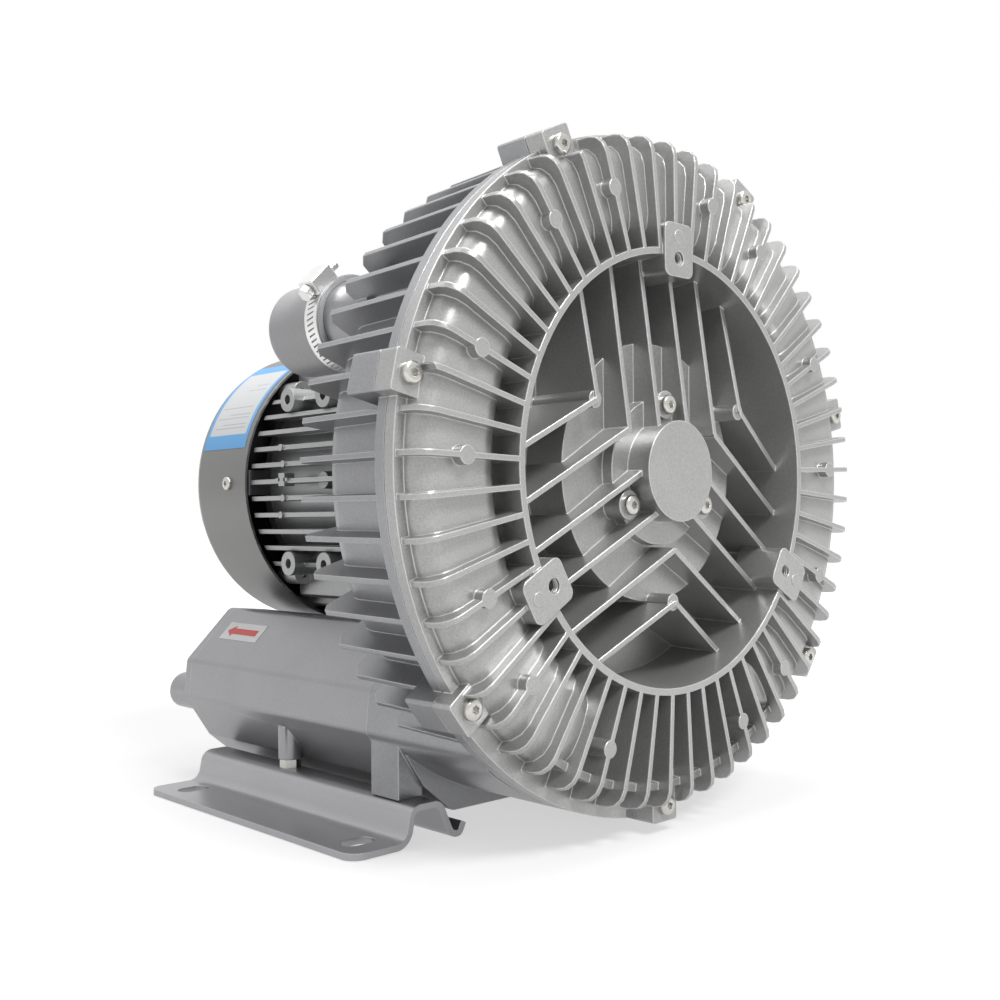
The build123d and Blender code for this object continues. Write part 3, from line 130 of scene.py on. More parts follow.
world = bpy.data.worlds.new("studio")
scene.world = world
world.use_nodes = True
world.node_tree.nodes.clear()


def seen_or_mirrored(tree):
    """1 for rays that show the backdrop, straight or in metal or through glass."""
    rays = add_node(tree, "ShaderNodeLightPath")
    mirrored = add_node(
        tree,
        "ShaderNodeMath",
        {0: rays.outputs["Is Glossy Ray"], 1: rays.outputs["Is Transmission Ray"]},
        operation="MAXIMUM",
    )
    seen = add_node(
        tree,
        "ShaderNodeMath",
        {0: rays.outputs["Is Camera Ray"], 1: mirrored.outputs[0]},
        operation="MAXIMUM",
    )
    return seen.outputs[0]


sky = add_node(world.node_tree, "ShaderNodeTexCoord")
sky_axes = add_node(world.node_tree, "ShaderNodeSeparateXYZ", {0: sky.outputs["Generated"]})
overhead = fit_range(
    world.node_tree, sky_axes.outputs["Z"], 0, overhead_height, room_level * surround_level, surround_level
)
surround = add_node(
    world.node_tree,
    "ShaderNodeMath",
    {0: overhead, 1: seen_or_mirrored(world.node_tree)},
    operation="MAXIMUM",
).outputs[0]
background = add_node(world.node_tree, "ShaderNodeBackground", {"Color": pure_white, "Strength": surround})
add_node(world.node_tree, "ShaderNodeOutputWorld", {"Surface": background.outputs[0]})

floor_mesh = bpy.data.meshes.new("floor")
corner_signs = ((-1, -1), (1, -1), (1, 1), (-1, 1))
corners = [(x * floor_size, y * floor_size, -floor_drop) for x, y in corner_signs]
floor_mesh.from_pydata(corners, [], [(0, 1, 2, 3)])
floor = bpy.data.objects.new("floor", floor_mesh)
scene.collection.objects.link(floor)
paper = bpy.data.materials.new("paper")
paper.use_nodes = True
paper.node_tree.nodes.clear()
paper_diffuse = add_node(paper.node_tree, "ShaderNodeBsdfDiffuse", {"Color": paper_white})
floor_point = add_node(paper.node_tree, "ShaderNodeTexCoord").outputs["Object"]
floor_reach = add_node(paper.node_tree, "ShaderNodeVectorMath", {0: floor_point}, operation="LENGTH")
paper_glow = fit_range(
    paper.node_tree, floor_reach.outputs["Value"], near_radius, far_radius, near_glow, far_glow
)
floor_glow = add_node(
    paper.node_tree,
    "ShaderNodeMath",
    {0: seen_or_mirrored(paper.node_tree), 1: paper_glow},
    operation="MULTIPLY",
)
glow = add_node(
    paper.node_tree, "ShaderNodeEmission", {"Color": pure_white, "Strength": floor_glow.outputs[0]}
)
paper_sum = add_node(
    paper.node_tree, "ShaderNodeAddShader", {0: paper_diffuse.outputs[0], 1: glow.outputs[0]}
)
add_node(paper.node_tree, "ShaderNodeOutputMaterial", {"Surface": paper_sum.outputs[0]})
floor_mesh.materials.append(paper)

lamps = (
    ("key_lamp", (-0.2, -1.7, 1.9), 0.8, 38),
    ("back_lamp", (-0.9, 0.9, 2.0), 1.3, 5),
    ("top_lamp", (0.0, 0.0, 2.2), 1.2, 16),
)
lamp_aim = Vector((0, 0, 0.2))
for lamp_name, lamp_place, lamp_size, lamp_watts in lamps:
    lamp_data = bpy.data.lights.new(lamp_name, "AREA")
    lamp_data.shape = "DISK"
    lamp_data.size = lamp_size
    lamp_data.energy = lamp_watts
    lamp = bpy.data.objects.new(lamp_name, lamp_data)
    lamp.location = lamp_place
    lamp.rotation_mode = "QUATERNION"
    lamp.rotation_quaternion = (lamp_aim - lamp.location).to_track_quat("-Z", "Y")
    scene.collection.objects.link(lamp)


# Casing castings
# The front cover and the rear housing are pressure die castings in aluminium, sprayed silver.
# Their fins have soft shaded edges that catch the light, a painted highlight of lighter colour along every
# edge, and a fine grain all over.
def blend_colours(tree, factor, first, second):
    """The first colour where the factor is 0, and the second where it is 1."""
    mixed = add_node(tree, "ShaderNodeMix", {0: factor, 6: first, 7: second}, data_type="RGBA")
    return mixed.outputs[2]


def new_group(name, inputs, outputs):
    """A shader group with its sockets, and its input and output nodes."""
    tree = bpy.data.node_groups.new(name, "ShaderNodeTree")
    for label, kind, value in inputs:
        tree.interface.new_socket(label, in_out="INPUT", socket_type=kind).default_value = value
    for label, kind in outputs:
        tree.interface.new_socket(label, in_out="OUTPUT", socket_type=kind)
    return tree, tree.nodes.new("NodeGroupInput"), tree.nodes.new("NodeGroupOutput")


grain_group, grain_in, grain_out = new_group(
    "sprayed_grain",
    (
        ("Colour", "NodeSocketColor", (0.6, 0.6, 0.6, 1)),
        ("Grain Scale", "NodeSocketFloat", 900),
        ("Sparkle", "NodeSocketFloat", 0.1),
        ("Mottle", "NodeSocketFloat", 0.08),
        ("Roughness", "NodeSocketFloat", 0.4),
    ),
    (("Colour", "NodeSocketColor"), ("Roughness", "NodeSocketFloat"), ("Height", "NodeSocketFloat")),
)
grain_detail = 3.0
grain_softness = 0.6
mottle_scale = 22.0
mottle_detail = 4.0
mottle_in_roughness = 0.6
grain_place = add_node(grain_group, "ShaderNodeTexCoord").outputs["Object"]
fine = add_node(
    grain_group,
    "ShaderNodeTexNoise",
    {
        "Vector": grain_place,
        "Scale": grain_in.outputs["Grain Scale"],
        "Detail": grain_detail,
        "Roughness": grain_softness,
    },
)
broad = add_node(
    grain_group,
    "ShaderNodeTexNoise",
    {"Vector": grain_place, "Scale": mottle_scale, "Detail": mottle_detail},
)
fine_part = add_node(
    grain_group,
    "ShaderNodeMath",
    {0: fit_range(grain_group, fine.outputs["Fac"], 0.35, 0.65, -1, 1), 1: grain_in.outputs["Sparkle"]},
    operation="MULTIPLY",
)
broad_part = add_node(
    grain_group,
    "ShaderNodeMath",
    {0: fit_range(grain_group, broad.outputs["Fac"], 0.3, 0.7, -1, 1), 1: grain_in.outputs["Mottle"]},
    operation="MULTIPLY",
)
grain_sum = add_node(
    grain_group, "ShaderNodeMath", {0: fine_part.outputs[0], 1: broad_part.outputs[0]}, operation="ADD"
)
grain_level = add_node(grain_group, "ShaderNodeMath", {0: grain_sum.outputs[0], 1: 1.0}, operation="ADD")
grained = add_node(
    grain_group,
    "ShaderNodeVectorMath",
    {0: grain_in.outputs["Colour"], "Scale": grain_level.outputs[0]},
    operation="SCALE",
)
rough_part = add_node(
    grain_group,
    "ShaderNodeMath",
    {0: broad_part.outputs[0], 1: mottle_in_roughness, 2: grain_in.outputs["Roughness"]},
    operation="MULTIPLY_ADD",
)
grain_group.links.new(grained.outputs[0], grain_out.inputs["Colour"])
grain_group.links.new(rough_part.outputs[0], grain_out.inputs["Roughness"])
grain_group.links.new(fine.outputs["Fac"], grain_out.inputs["Height"])

# Painted highlight: edges that round away from the flat face are mixed toward a lighter colour, standing in
# for the light they catch.
edge_group, edge_in, edge_out = new_group(
    "painted_edge_highlights",
    (
        ("Colour", "NodeSocketColor", (0.6, 0.6, 0.6, 1)),
        ("Highlight Colour", "NodeSocketColor", (0.8, 0.8, 0.8, 1)),
        ("Radius", "NodeSocketFloat", 0.001),
        ("Highlight Strength", "NodeSocketFloat", 0.6),
    ),
    (("Colour", "NodeSocketColor"), ("Normal", "NodeSocketVector")),
)
edge_samples = 6
flat_likeness = 0.995
full_highlight_likeness = 0.8
rounded = add_node(
    edge_group, "ShaderNodeBevel", {"Radius": edge_in.outputs["Radius"]}, samples=edge_samples
)
flat = add_node(edge_group, "ShaderNodeNewGeometry")
likeness = add_node(
    edge_group,
    "ShaderNodeVectorMath",
    {0: rounded.outputs["Normal"], 1: flat.outputs["Normal"]},
    operation="DOT_PRODUCT",
)
turned_away = fit_range(edge_group, likeness.outputs["Value"], flat_likeness, full_highlight_likeness, 0, 1)
# The mask of the painted edge highlight, scaled by its strength.
edge_highlight_mask = add_node(
    edge_group, "ShaderNodeMath", {0: turned_away, 1: edge_in.outputs["Highlight Strength"]}, operation="MULTIPLY"
)
edge_highlight_colour = blend_colours(
    edge_group, edge_highlight_mask.outputs[0], edge_in.outputs["Colour"], edge_in.outputs["Highlight Colour"]
)
edge_group.links.new(edge_highlight_colour, edge_out.inputs["Colour"])
edge_group.links.new(rounded.outputs["Normal"], edge_out.inputs["Normal"])


def start_material(name, metallic):
    """A new material with its Principled shader."""
    material = bpy.data.materials.new(name)
    material.use_nodes = True
    tree = material.node_tree
    shader = tree.nodes["Principled BSDF"]
    shader.inputs["Metallic"].default_value = metallic
    return material, tree, shader


def sprayed_metal(
    name, colour, edge_highlight_colour, metallic, roughness, grain=900, sparkle=0.1, mottle=0.06, edge_radius=0.001,
    highlight_strength=0.6, bump=0.00003,
):
    """Sprayed or cast metal with a fine grain and a painted highlight of lighter colour along its edges."""
    material, tree, shader = start_material(name, metallic)
    grains = {
        "Colour": (*colour, 1),
        "Grain Scale": grain,
        "Sparkle": sparkle,
        "Mottle": mottle,
        "Roughness": roughness,
    }
    grained_metal = add_node(tree, "ShaderNodeGroup", grains, node_tree=grain_group)
    edging = {
        "Colour": grained_metal.outputs["Colour"],
        "Highlight Colour": (*edge_highlight_colour, 1),
        "Radius": edge_radius,
        "Highlight Strength": highlight_strength,
    }
    edges = add_node(tree, "ShaderNodeGroup", edging, node_tree=edge_group)
    bumps = add_node(
        tree,
        "ShaderNodeBump",
        {"Height": grained_metal.outputs["Height"], "Distance": bump, "Normal": edges.outputs["Normal"]},
    )
    tree.links.new(edges.outputs["Colour"], shader.inputs["Base Color"])
    tree.links.new(grained_metal.outputs["Roughness"], shader.inputs["Roughness"])
    tree.links.new(bumps.outputs["Normal"], shader.inputs["Normal"])
    return material


nodes = frame["nodes"]
merge_reach = 1e-6
soft_edge_angle = 38


def merged_mesh(node_name):
    """A copy of a piece's mesh with its loose triangles joined."""
    mesh = nodes[node_name].data.copy()
    shape = bmesh.new()
    shape.from_mesh(mesh)
    bmesh.ops.remove_doubles(shape, verts=shape.verts, dist=merge_reach)
    shape.to_mesh(mesh)
    shape.free()
    if "custom_normal" in mesh.attributes:
        mesh.attributes.remove(mesh.attributes["custom_normal"])
    return mesh


def dressed(node_name, piece_name, material, smooth_under=soft_edge_angle):
    """A smoothly shaded copy of a CAD piece, which stands for it on its own body."""
    mesh = merged_mesh(node_name)
    mesh.shade_smooth()
    mesh.set_sharp_from_angle(angle=math.radians(smooth_under))
    mesh.materials.clear()
    mesh.materials.append(material)
    piece = bpy.data.objects.new(piece_name, mesh)
    scene.collection.objects.link(piece)
    flat_faces = piece.modifiers.new("flat_faces", "WEIGHTED_NORMAL")
    flat_faces.keep_sharp = True
    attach(piece, nodes[node_name]["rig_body"])
    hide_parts(node_name)
    return piece


cover_silver = sprayed_metal(
    "cover_silver", (0.42, 0.42, 0.416), (0.96, 0.96, 0.95), 0.6, 0.34, sparkle=0.10, edge_radius=0.0012,
    highlight_strength=0.75,
)
housing_silver = sprayed_metal(
    "housing_silver", (0.335, 0.337, 0.346), (0.88, 0.89, 0.91), 0.6, 0.34, sparkle=0.08,
    edge_radius=0.0010, highlight_strength=0.55,
)
dressed("front_cover", "cover_casting", cover_silver)
dressed("rear_housing", "housing_casting", housing_silver)


# Casing screws
# Stainless pan head screws with a star socket hold the two casing halves and the bearing retainer.
# Each stands square on its own seat, turned as it happened to be tightened.
seam_reach = 2e-6


def plain_mesh(holder, name, material):
    """The evaluated shape of an object as a merged, outward facing mesh of its own."""
    bpy.context.view_layer.update()
    depsgraph = bpy.context.evaluated_depsgraph_get()
    mesh = bpy.data.meshes.new_from_object(holder.evaluated_get(depsgraph), depsgraph=depsgraph)
    mesh.name = name
    shape = bmesh.new()
    shape.from_mesh(mesh)
    bmesh.ops.remove_doubles(shape, verts=shape.verts, dist=seam_reach)
    bmesh.ops.recalc_face_normals(shape, faces=shape.faces)
    shape.to_mesh(mesh)
    shape.free()
    mesh.shade_smooth()
    mesh.set_sharp_from_angle(angle=math.radians(soft_edge_angle))
    mesh.materials.clear()
    mesh.materials.append(material)
    return mesh


def grow(tree, name, seats, values, material, body, stands_for=()):
    """Runs a Geometry Nodes tree on the seats and keeps the result as a piece."""
    holder = bpy.data.objects.new(name + "_seats", seats)
    scene.collection.objects.link(holder)
    modifier = holder.modifiers.new("grow", "NODES")
    modifier.node_group = tree
    items = tree.interface.items_tree
    sockets = {item.name: item.identifier for item in items if item.in_out == "INPUT"}
    for label, value in {**values, "Material": material}.items():
        modifier[sockets[label]] = value
    mesh = plain_mesh(holder, name, material)
    holder.modifiers.remove(modifier)
    bpy.data.objects.remove(holder)
    return keep_piece(name, mesh, body, stands_for)


def keep_piece(name, mesh, body, stands_for=()):
    """Links a finished mesh as a piece that rides on a body."""
    piece = bpy.data.objects.new(name, mesh)
    scene.collection.objects.link(piece)
    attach(piece, body)
    if stands_for:
        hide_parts(*stands_for)
    return piece


def solid_boxes(node_name):
    """The lowest and highest corners of each separate solid of a CAD piece."""
    shape = bmesh.new()
    shape.from_mesh(merged_mesh(node_name))
    shape.verts.ensure_lookup_table()
    waiting = set(range(len(shape.verts)))
    boxes = []
    while waiting:
        first = min(waiting)
        waiting.discard(first)
        group = [first]
        for index in group:
            for edge in shape.verts[index].link_edges:
                other = edge.other_vert(shape.verts[index]).index
                if other in waiting:
                    waiting.discard(other)
                    group.append(other)
        places = [shape.verts[index].co for index in group]
        low = Vector([min(place[axis] for place in places) for axis in range(3)])
        high = Vector([max(place[axis] for place in places) for axis in range(3)])
        boxes.append((low, high))
    shape.free()
    return boxes


def seat_mesh(name, seats):
    """A mesh of loose points, each with the direction its piece faces."""
    mesh = bpy.data.meshes.new(name)
    mesh.from_pydata([place for place, outward in seats], [], [])
    facing = mesh.attributes.new("outward", "FLOAT_VECTOR", "POINT")
    for index, (place, outward) in enumerate(seats):
        facing.data[index].vector = outward
    return mesh


def new_tree(name, inputs):
    """A Geometry Nodes tree with its seats, its named sizes and its material."""
    tree = bpy.data.node_groups.new(name, "GeometryNodeTree")
    tree.interface.new_socket("Seats", in_out="INPUT", socket_type="NodeSocketGeometry")
    for label, value in inputs:
        kind = "NodeSocketInt" if isinstance(value, int) else "NodeSocketFloat"
        tree.interface.new_socket(label, in_out="INPUT", socket_type=kind).default_value = value
    tree.interface.new_socket("Material", in_out="INPUT", socket_type="NodeSocketMaterial")
    tree.interface.new_socket("Geometry", in_out="OUTPUT", socket_type="NodeSocketGeometry")
    start = tree.nodes.new("NodeGroupInput")
    end = tree.nodes.new("NodeGroupOutput")
    return tree, start.outputs, end


def calculate(tree, first, second, operation):
    """The result of one sum of two values."""
    return add_node(tree, "ShaderNodeMath", {0: first, 1: second}, operation=operation).outputs[0]


def lifted(tree, geometry, height):
    """A shape moved along its own axis."""
    shift = add_node(tree, "ShaderNodeCombineXYZ", {"Z": height})
    moved = add_node(tree, "GeometryNodeTransform", {"Geometry": geometry, "Translation": shift.outputs[0]})
    return moved.outputs[0]


def joined(tree, shapes):
    """Several shapes as one."""
    join = tree.nodes.new("GeometryNodeJoinGeometry")
    for shape in shapes:
        tree.links.new(shape, join.inputs[0])
    return join.outputs[0]


def stand_on_seats(tree, start, end, shape, seed):
    """Stands one shape on every seat, spun about its own axis, and makes it real."""
    outward = add_node(
        tree, "GeometryNodeInputNamedAttribute", {"Name": "outward"}, data_type="FLOAT_VECTOR"
    )
    facing = add_node(
        tree, "FunctionNodeAlignRotationToVector", {"Vector": outward.outputs["Attribute"]}, axis="Z"
    )
    chance = add_node(tree, "FunctionNodeRandomValue", {"Seed": seed}, data_type="FLOAT")
    angle = calculate(tree, chance.outputs[1], 2 * math.pi, "MULTIPLY")
    spin = add_node(tree, "FunctionNodeAxisAngleToRotation", {"Axis": (0, 0, 1), "Angle": angle})
    turned = add_node(
        tree,
        "FunctionNodeRotateRotation",
        {"Rotation": facing.outputs[0], "Rotate By": spin.outputs[0]},
        rotation_space="LOCAL",
    )
    placed = add_node(
        tree,
        "GeometryNodeInstanceOnPoints",
        {"Points": start["Seats"], "Instance": shape, "Rotation": turned.outputs[0]},
    )
    real = add_node(tree, "GeometryNodeRealizeInstances", {"Geometry": placed.outputs[0]})
    finished = add_node(
        tree, "GeometryNodeSetMaterial", {"Geometry": real.outputs[0], "Material": start["Material"]}
    )
    tree.links.new(finished.outputs[0], end.inputs[0])


star_tree, star_in, star_end = new_tree(
    "star_screws",
    (
        ("Head Radius", 0.006),
        ("Head Height", 0.004),
        ("Shank Radius", 0.003),
        ("Shank Length", 0.03),
        ("Socket Radius", 0.0027),
        ("Socket Depth", 0.0026),
        ("Seed", 3),
    ),
)
star_points = 6
star_valley = 0.66
star_fillet = 0.22
fillet_steps = 2
head_sides = 24
shank_sides = 12
valley = calculate(star_tree, star_in["Socket Radius"], star_valley, "MULTIPLY")
fillet = calculate(star_tree, star_in["Socket Radius"], star_fillet, "MULTIPLY")
star = add_node(
    star_tree,
    "GeometryNodeCurveStar",
    {"Points": star_points, "Inner Radius": valley, "Outer Radius": star_in["Socket Radius"]},
)
soft_star = add_node(
    star_tree,
    "GeometryNodeFilletCurve",
    {"Curve": star.outputs["Curve"], "Radius": fillet, "Count": fillet_steps},
    mode="POLY",
)
head_profile = ((1, 0), (1, 0.55), (0.95, 0.8), (0.84, 0.94), (0.7, 1))
head_shapes = []
for (low_part, low_height), (high_part, high_height) in zip(head_profile, head_profile[1:]):
    height = calculate(star_tree, star_in["Head Height"], high_height - low_height, "MULTIPLY")
    low_radius = calculate(star_tree, star_in["Head Radius"], low_part, "MULTIPLY")
    high_radius = calculate(star_tree, star_in["Head Radius"], high_part, "MULTIPLY")
    band = add_node(
        star_tree,
        "GeometryNodeMeshCone",
        {"Vertices": head_sides, "Radius Top": high_radius, "Radius Bottom": low_radius, "Depth": height},
        fill_type="NONE",
    )
    start_height = calculate(star_tree, star_in["Head Height"], low_height, "MULTIPLY")
    head_shapes.append(lifted(star_tree, band.outputs["Mesh"], start_height))
top_radius = calculate(star_tree, star_in["Head Radius"], head_profile[-1][0], "MULTIPLY")
top_circle = add_node(
    star_tree, "GeometryNodeCurvePrimitiveCircle", {"Resolution": head_sides, "Radius": top_radius}
)
top_outline = joined(star_tree, (top_circle.outputs["Curve"], soft_star.outputs["Curve"]))
top_face = add_node(star_tree, "GeometryNodeFillCurve", {"Curve": top_outline}, mode="TRIANGLES")
head_shapes.append(lifted(star_tree, top_face.outputs[0], star_in["Head Height"]))
socket_edge = add_node(star_tree, "GeometryNodeCurveToMesh", {"Curve": soft_star.outputs["Curve"]})
socket_drop = calculate(star_tree, star_in["Socket Depth"], -1, "MULTIPLY")
socket_way = add_node(star_tree, "ShaderNodeCombineXYZ", {"Z": socket_drop})
socket_wall = add_node(
    star_tree,
    "GeometryNodeExtrudeMesh",
    {"Mesh": socket_edge.outputs[0], "Offset": socket_way.outputs[0], "Offset Scale": 1.0},
    mode="EDGES",
)
head_shapes.append(lifted(star_tree, socket_wall.outputs["Mesh"], star_in["Head Height"]))
socket_floor = add_node(
    star_tree, "GeometryNodeFillCurve", {"Curve": soft_star.outputs["Curve"]}, mode="TRIANGLES"
)
floor_height = calculate(star_tree, star_in["Head Height"], star_in["Socket Depth"], "SUBTRACT")
head_shapes.append(lifted(star_tree, socket_floor.outputs[0], floor_height))
under_face = add_node(
    star_tree,
    "GeometryNodeMeshCircle",
    {"Vertices": head_sides, "Radius": star_in["Head Radius"]},
    fill_type="NGON",
)
head_shapes.append(under_face.outputs[0])
shank = add_node(
    star_tree,
    "GeometryNodeMeshCylinder",
    {"Vertices": shank_sides, "Radius": star_in["Shank Radius"], "Depth": star_in["Shank Length"]},
    fill_type="NGON",
)
shank_middle = calculate(star_tree, star_in["Shank Length"], -0.5, "MULTIPLY")
head_shapes.append(lifted(star_tree, shank.outputs["Mesh"], shank_middle))
stand_on_seats(star_tree, star_in, star_end, joined(star_tree, head_shapes), star_in["Seed"])
socket_share = 0.5
socket_depth_share = 0.6


def star_screws(node_name, piece_name, outward_of, head_height, shank_radius, seed):
    """Screws on the seats of a CAD group; outward_of gives the head's direction."""
    seats = []
    for low, high in solid_boxes(node_name):
        middle = (low + high) / 2
        outward = outward_of(middle)
        along = max(range(3), key=lambda axis: abs(outward[axis]))
        across = [axis for axis in range(3) if axis != along]
        head_radius = (high[across[0]] - low[across[0]]) / 2
        length = high[along] - low[along]
        seats.append((middle + outward * (length / 2 - head_height), outward))
    values = {
        "Head Radius": head_radius,
        "Head Height": head_height,
        "Shank Radius": shank_radius,
        "Shank Length": length - head_height,
        "Socket Radius": head_radius * socket_share,
        "Socket Depth": head_height * socket_depth_share,
        "Seed": seed,
    }
    return grow(
        star_tree, piece_name, seat_mesh(piece_name + "_places", seats), values, bright_steel,
        nodes[node_name]["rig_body"], (node_name,),
    )


bright_steel = sprayed_metal(
    "bright_steel", (0.55, 0.54, 0.51), (0.85, 0.84, 0.82), 0.95, 0.26, grain=600, sparkle=0.04,
    mottle=0.06, edge_radius=0.0003, highlight_strength=0.5, bump=0.000005,
)
front = Vector((0, -1, 0))
casing_head_height = 0.004
casing_screw_radius = 0.003
for node_name, piece_name, seed in (
    ("casing_bolts", "casing_star_screws", 3),
    ("retainer_screws", "retainer_star_screws", 5),
):
    star_screws(
        node_name, piece_name, lambda middle: front, casing_head_height, casing_screw_radius, seed
    )

# Threads and ejector marks of the front lugs
# The three lugs carry cut metric threads for fixing things to the blower's front.
# The round marks beside them are where the die's ejector pins pushed the casting out.
lug_thread = {"Radius": 0.0043, "Length": 0.018, "Turns": 12.0, "Ridge": 0.0009, "Steps": 20, "Seed": 1}
thread_tree, thread_in, thread_end = new_tree("cut_thread", lug_thread.items())
helix = add_node(
    thread_tree,
    "GeometryNodeCurveSpiral",
    {
        "Resolution": thread_in["Steps"],
        "Rotations": thread_in["Turns"],
        "Start Radius": thread_in["Radius"],
        "End Radius": thread_in["Radius"],
        "Height": thread_in["Length"],
    },
)
ridge_sides = 3
ridge = add_node(
    thread_tree,
    "GeometryNodeCurvePrimitiveCircle",
    {"Resolution": ridge_sides, "Radius": thread_in["Ridge"]},
)
swept = add_node(
    thread_tree,
    "GeometryNodeCurveToMesh",
    {"Curve": helix.outputs[0], "Profile Curve": ridge.outputs["Curve"], "Fill Caps": True},
)
thread_depth = calculate(thread_tree, thread_in["Length"], -1, "MULTIPLY")
thread_shape = lifted(thread_tree, swept.outputs[0], thread_depth)
stand_on_seats(thread_tree, thread_in, thread_end, thread_shape, thread_in["Seed"])

axis_z = 0.216
lug_angles = (90, 210, 330)
lug_face = cad_low[1]
lug_hole_circle = 0.126
lug_thread_rise = 0.0008
mark_circle = 0.139
mark_sides = 32


def round_the_axis(radius, angle, y):
    """A place at a radius and angle round the motor axis, seen from the front."""
    turn = math.radians(angle)
    return Vector((radius * math.cos(turn), y, axis_z + radius * math.sin(turn)))


lug_mouth = lug_face + lug_thread_rise
lug_holes = [(round_the_axis(lug_hole_circle, angle, lug_mouth), front) for angle in lug_angles]
grow(
    thread_tree, "lug_threads", seat_mesh("lug_thread_places", lug_holes), lug_thread, cover_silver,
    "machine",
)

lug_mark = {"Radius": 0.0042, "Height": 0.0005, "Seed": 2}
mark_tree, mark_in, mark_end = new_tree("ejector_marks", lug_mark.items())
mark_rise = add_node(
    mark_tree,
    "GeometryNodeMeshCylinder",
    {"Vertices": mark_sides, "Radius": mark_in["Radius"], "Depth": mark_in["Height"]},
    fill_type="NGON",
)
stand_on_seats(mark_tree, mark_in, mark_end, mark_rise.outputs["Mesh"], mark_in["Seed"])
mark_places = [(round_the_axis(mark_circle, angle, lug_face), front) for angle in lug_angles]
grow(
    mark_tree, "ejector_marks", seat_mesh("ejector_mark_places", mark_places), lug_mark, cover_silver,
    "machine",
)


# Motor
# The frame is a casting in a darker silver, with straight fins along the frame; the end shield is a casting
# coloured near black, as painted shade for the dark gap seen between the fins and the cowl.
# The cowl is pressed from sheet steel and held by four screws.
motor_edge_radius = 0.0009
motor_silver = sprayed_metal(
    "motor_silver", (0.38, 0.383, 0.385), (0.68, 0.69, 0.70), 0.7, 0.38, sparkle=0.08,
    edge_radius=motor_edge_radius,
)
# Painted shade: the end shield's near black colour stands in for the shadow inside the cowl's mouth.
shield_painted_shade = sprayed_metal(
    "shield_painted_shade", (0.10, 0.10, 0.105), (0.25, 0.25, 0.26), 0.5, 0.5, sparkle=0.08,
    edge_radius=motor_edge_radius,
)
cowl_silver = sprayed_metal(
    "cowl_silver", (0.22, 0.219, 0.216), (0.50, 0.50, 0.50), 0.66, 0.36, grain=1500, sparkle=0.03,
    mottle=0.03, edge_radius=0.0006, highlight_strength=0.5, bump=0.00001,
)
dressed("motor_frame", "motor_casting", motor_silver)
dressed("rear_end_shield", "end_shield_casting", shield_painted_shade)
dressed("fan_cowl", "cowl_pressing", cowl_silver)


def away_from_axis(middle):
    """The side of the motor a cowl screw stands on."""
    offset = Vector((middle.x, 0, middle.z - axis_z))
    along = max((0, 2), key=lambda axis: abs(offset[axis]))
    outward = Vector((0, 0, 0))
    outward[along] = math.copysign(1, offset[along])
    return outward


cowl_head_height = 0.0025
cowl_screw_radius = 0.0025
star_screws("cowl_screws", "cowl_star_screws", away_from_axis, cowl_head_height, cowl_screw_radius, 7)

# Drilled pad on the motor's side
# A small cast pad on the middle fin, with two blind holes for a plate that is not fitted.
pad_low = Vector((-0.1035, 0.0475, 0.2125))
pad_high = Vector((-0.0950, 0.0615, 0.2215))
pad_middle = [(low + high) / 2 for low, high in zip(pad_low, pad_high)]
pad_depth = pad_high.x - pad_low.x
pad_corner = 0.0035
pad_corner_steps = 4
pad_hole = 0.0014
pad_hole_sides = 20
pad_hole_offset = 0.0032
pad_drill_length = 0.006
pad_shape = bmesh.new()
bmesh.ops.create_cube(pad_shape, size=1)
for vertex in pad_shape.verts:
    for axis in range(3):
        vertex.co[axis] = pad_middle[axis] + vertex.co[axis] * (pad_high[axis] - pad_low[axis])
upright_edges = []
for edge in pad_shape.edges:
    near_end, far_end = edge.verts
    if abs(near_end.co.x - far_end.co.x) > pad_depth / 2:
        upright_edges.append(edge)
bmesh.ops.bevel(
    pad_shape, geom=upright_edges, offset=pad_corner, segments=pad_corner_steps, affect="EDGES"
)
pad_mesh = bpy.data.meshes.new("drilled_pad")
pad_shape.to_mesh(pad_mesh)
pad_shape.free()
pad_holder = bpy.data.objects.new("pad_blank", pad_mesh)
scene.collection.objects.link(pad_holder)
drill_shape = bmesh.new()
for offset in (-pad_hole_offset, pad_hole_offset):
    place = Matrix.Translation((pad_low.x, pad_middle[1] + offset, pad_middle[2]))
    bmesh.ops.create_cone(
        drill_shape, cap_ends=True, segments=pad_hole_sides, radius1=pad_hole, radius2=pad_hole,
        depth=pad_drill_length, matrix=place @ Matrix.Rotation(math.pi / 2, 4, "Y"),
    )
drill_mesh = bpy.data.meshes.new("pad_drills")
drill_shape.to_mesh(drill_mesh)
drill_shape.free()
drills = bpy.data.objects.new("pad_drills", drill_mesh)
scene.collection.objects.link(drills)
drilling = pad_holder.modifiers.new("drilling", "BOOLEAN")
drilling.object = drills
drilling.operation = "DIFFERENCE"
pad_finished = plain_mesh(pad_holder, "drilled_pad_mesh", motor_silver)
bpy.data.objects.remove(pad_holder)
bpy.data.objects.remove(drills)
keep_piece("drilled_pad", pad_finished, "machine")

# Ejector marks on the motor's fins
# The die's pins leave small round bosses on the fins beside the pad, on both sides of the motor.
fin_pitch = 0.0118
fin_tip_radius = 0.102
fin_mark = {"Radius": 0.0024, "Height": 0.003, "Seed": 4}
fin_mark_rows = ((1, 0.0545), (-1, 0.0545), (2, 0.0605), (-2, 0.0605))
fin_marks = []
for side in (-1, 1):
    for row, y in fin_mark_rows:
        rise = row * fin_pitch
        tip = math.sqrt(fin_tip_radius ** 2 - rise ** 2)
        fin_marks.append((Vector((side * tip, y, axis_z + rise)), Vector((side, 0, 0))))
grow(
    mark_tree, "fin_marks", seat_mesh("fin_mark_places", fin_marks), fin_mark, motor_silver, "machine",
)

# Rating label
# A printed foil wraps the upper left of the cowl: a white field between two light blue bands.
# Plain grey rules stand where such a label has its lines.
label_radius = 0.1060
label_thickness = 0.00025
label_front = 0.1030
label_rear = 0.1610
label_bottom_angle = 166
label_top_angle = 120
label_steps = 32


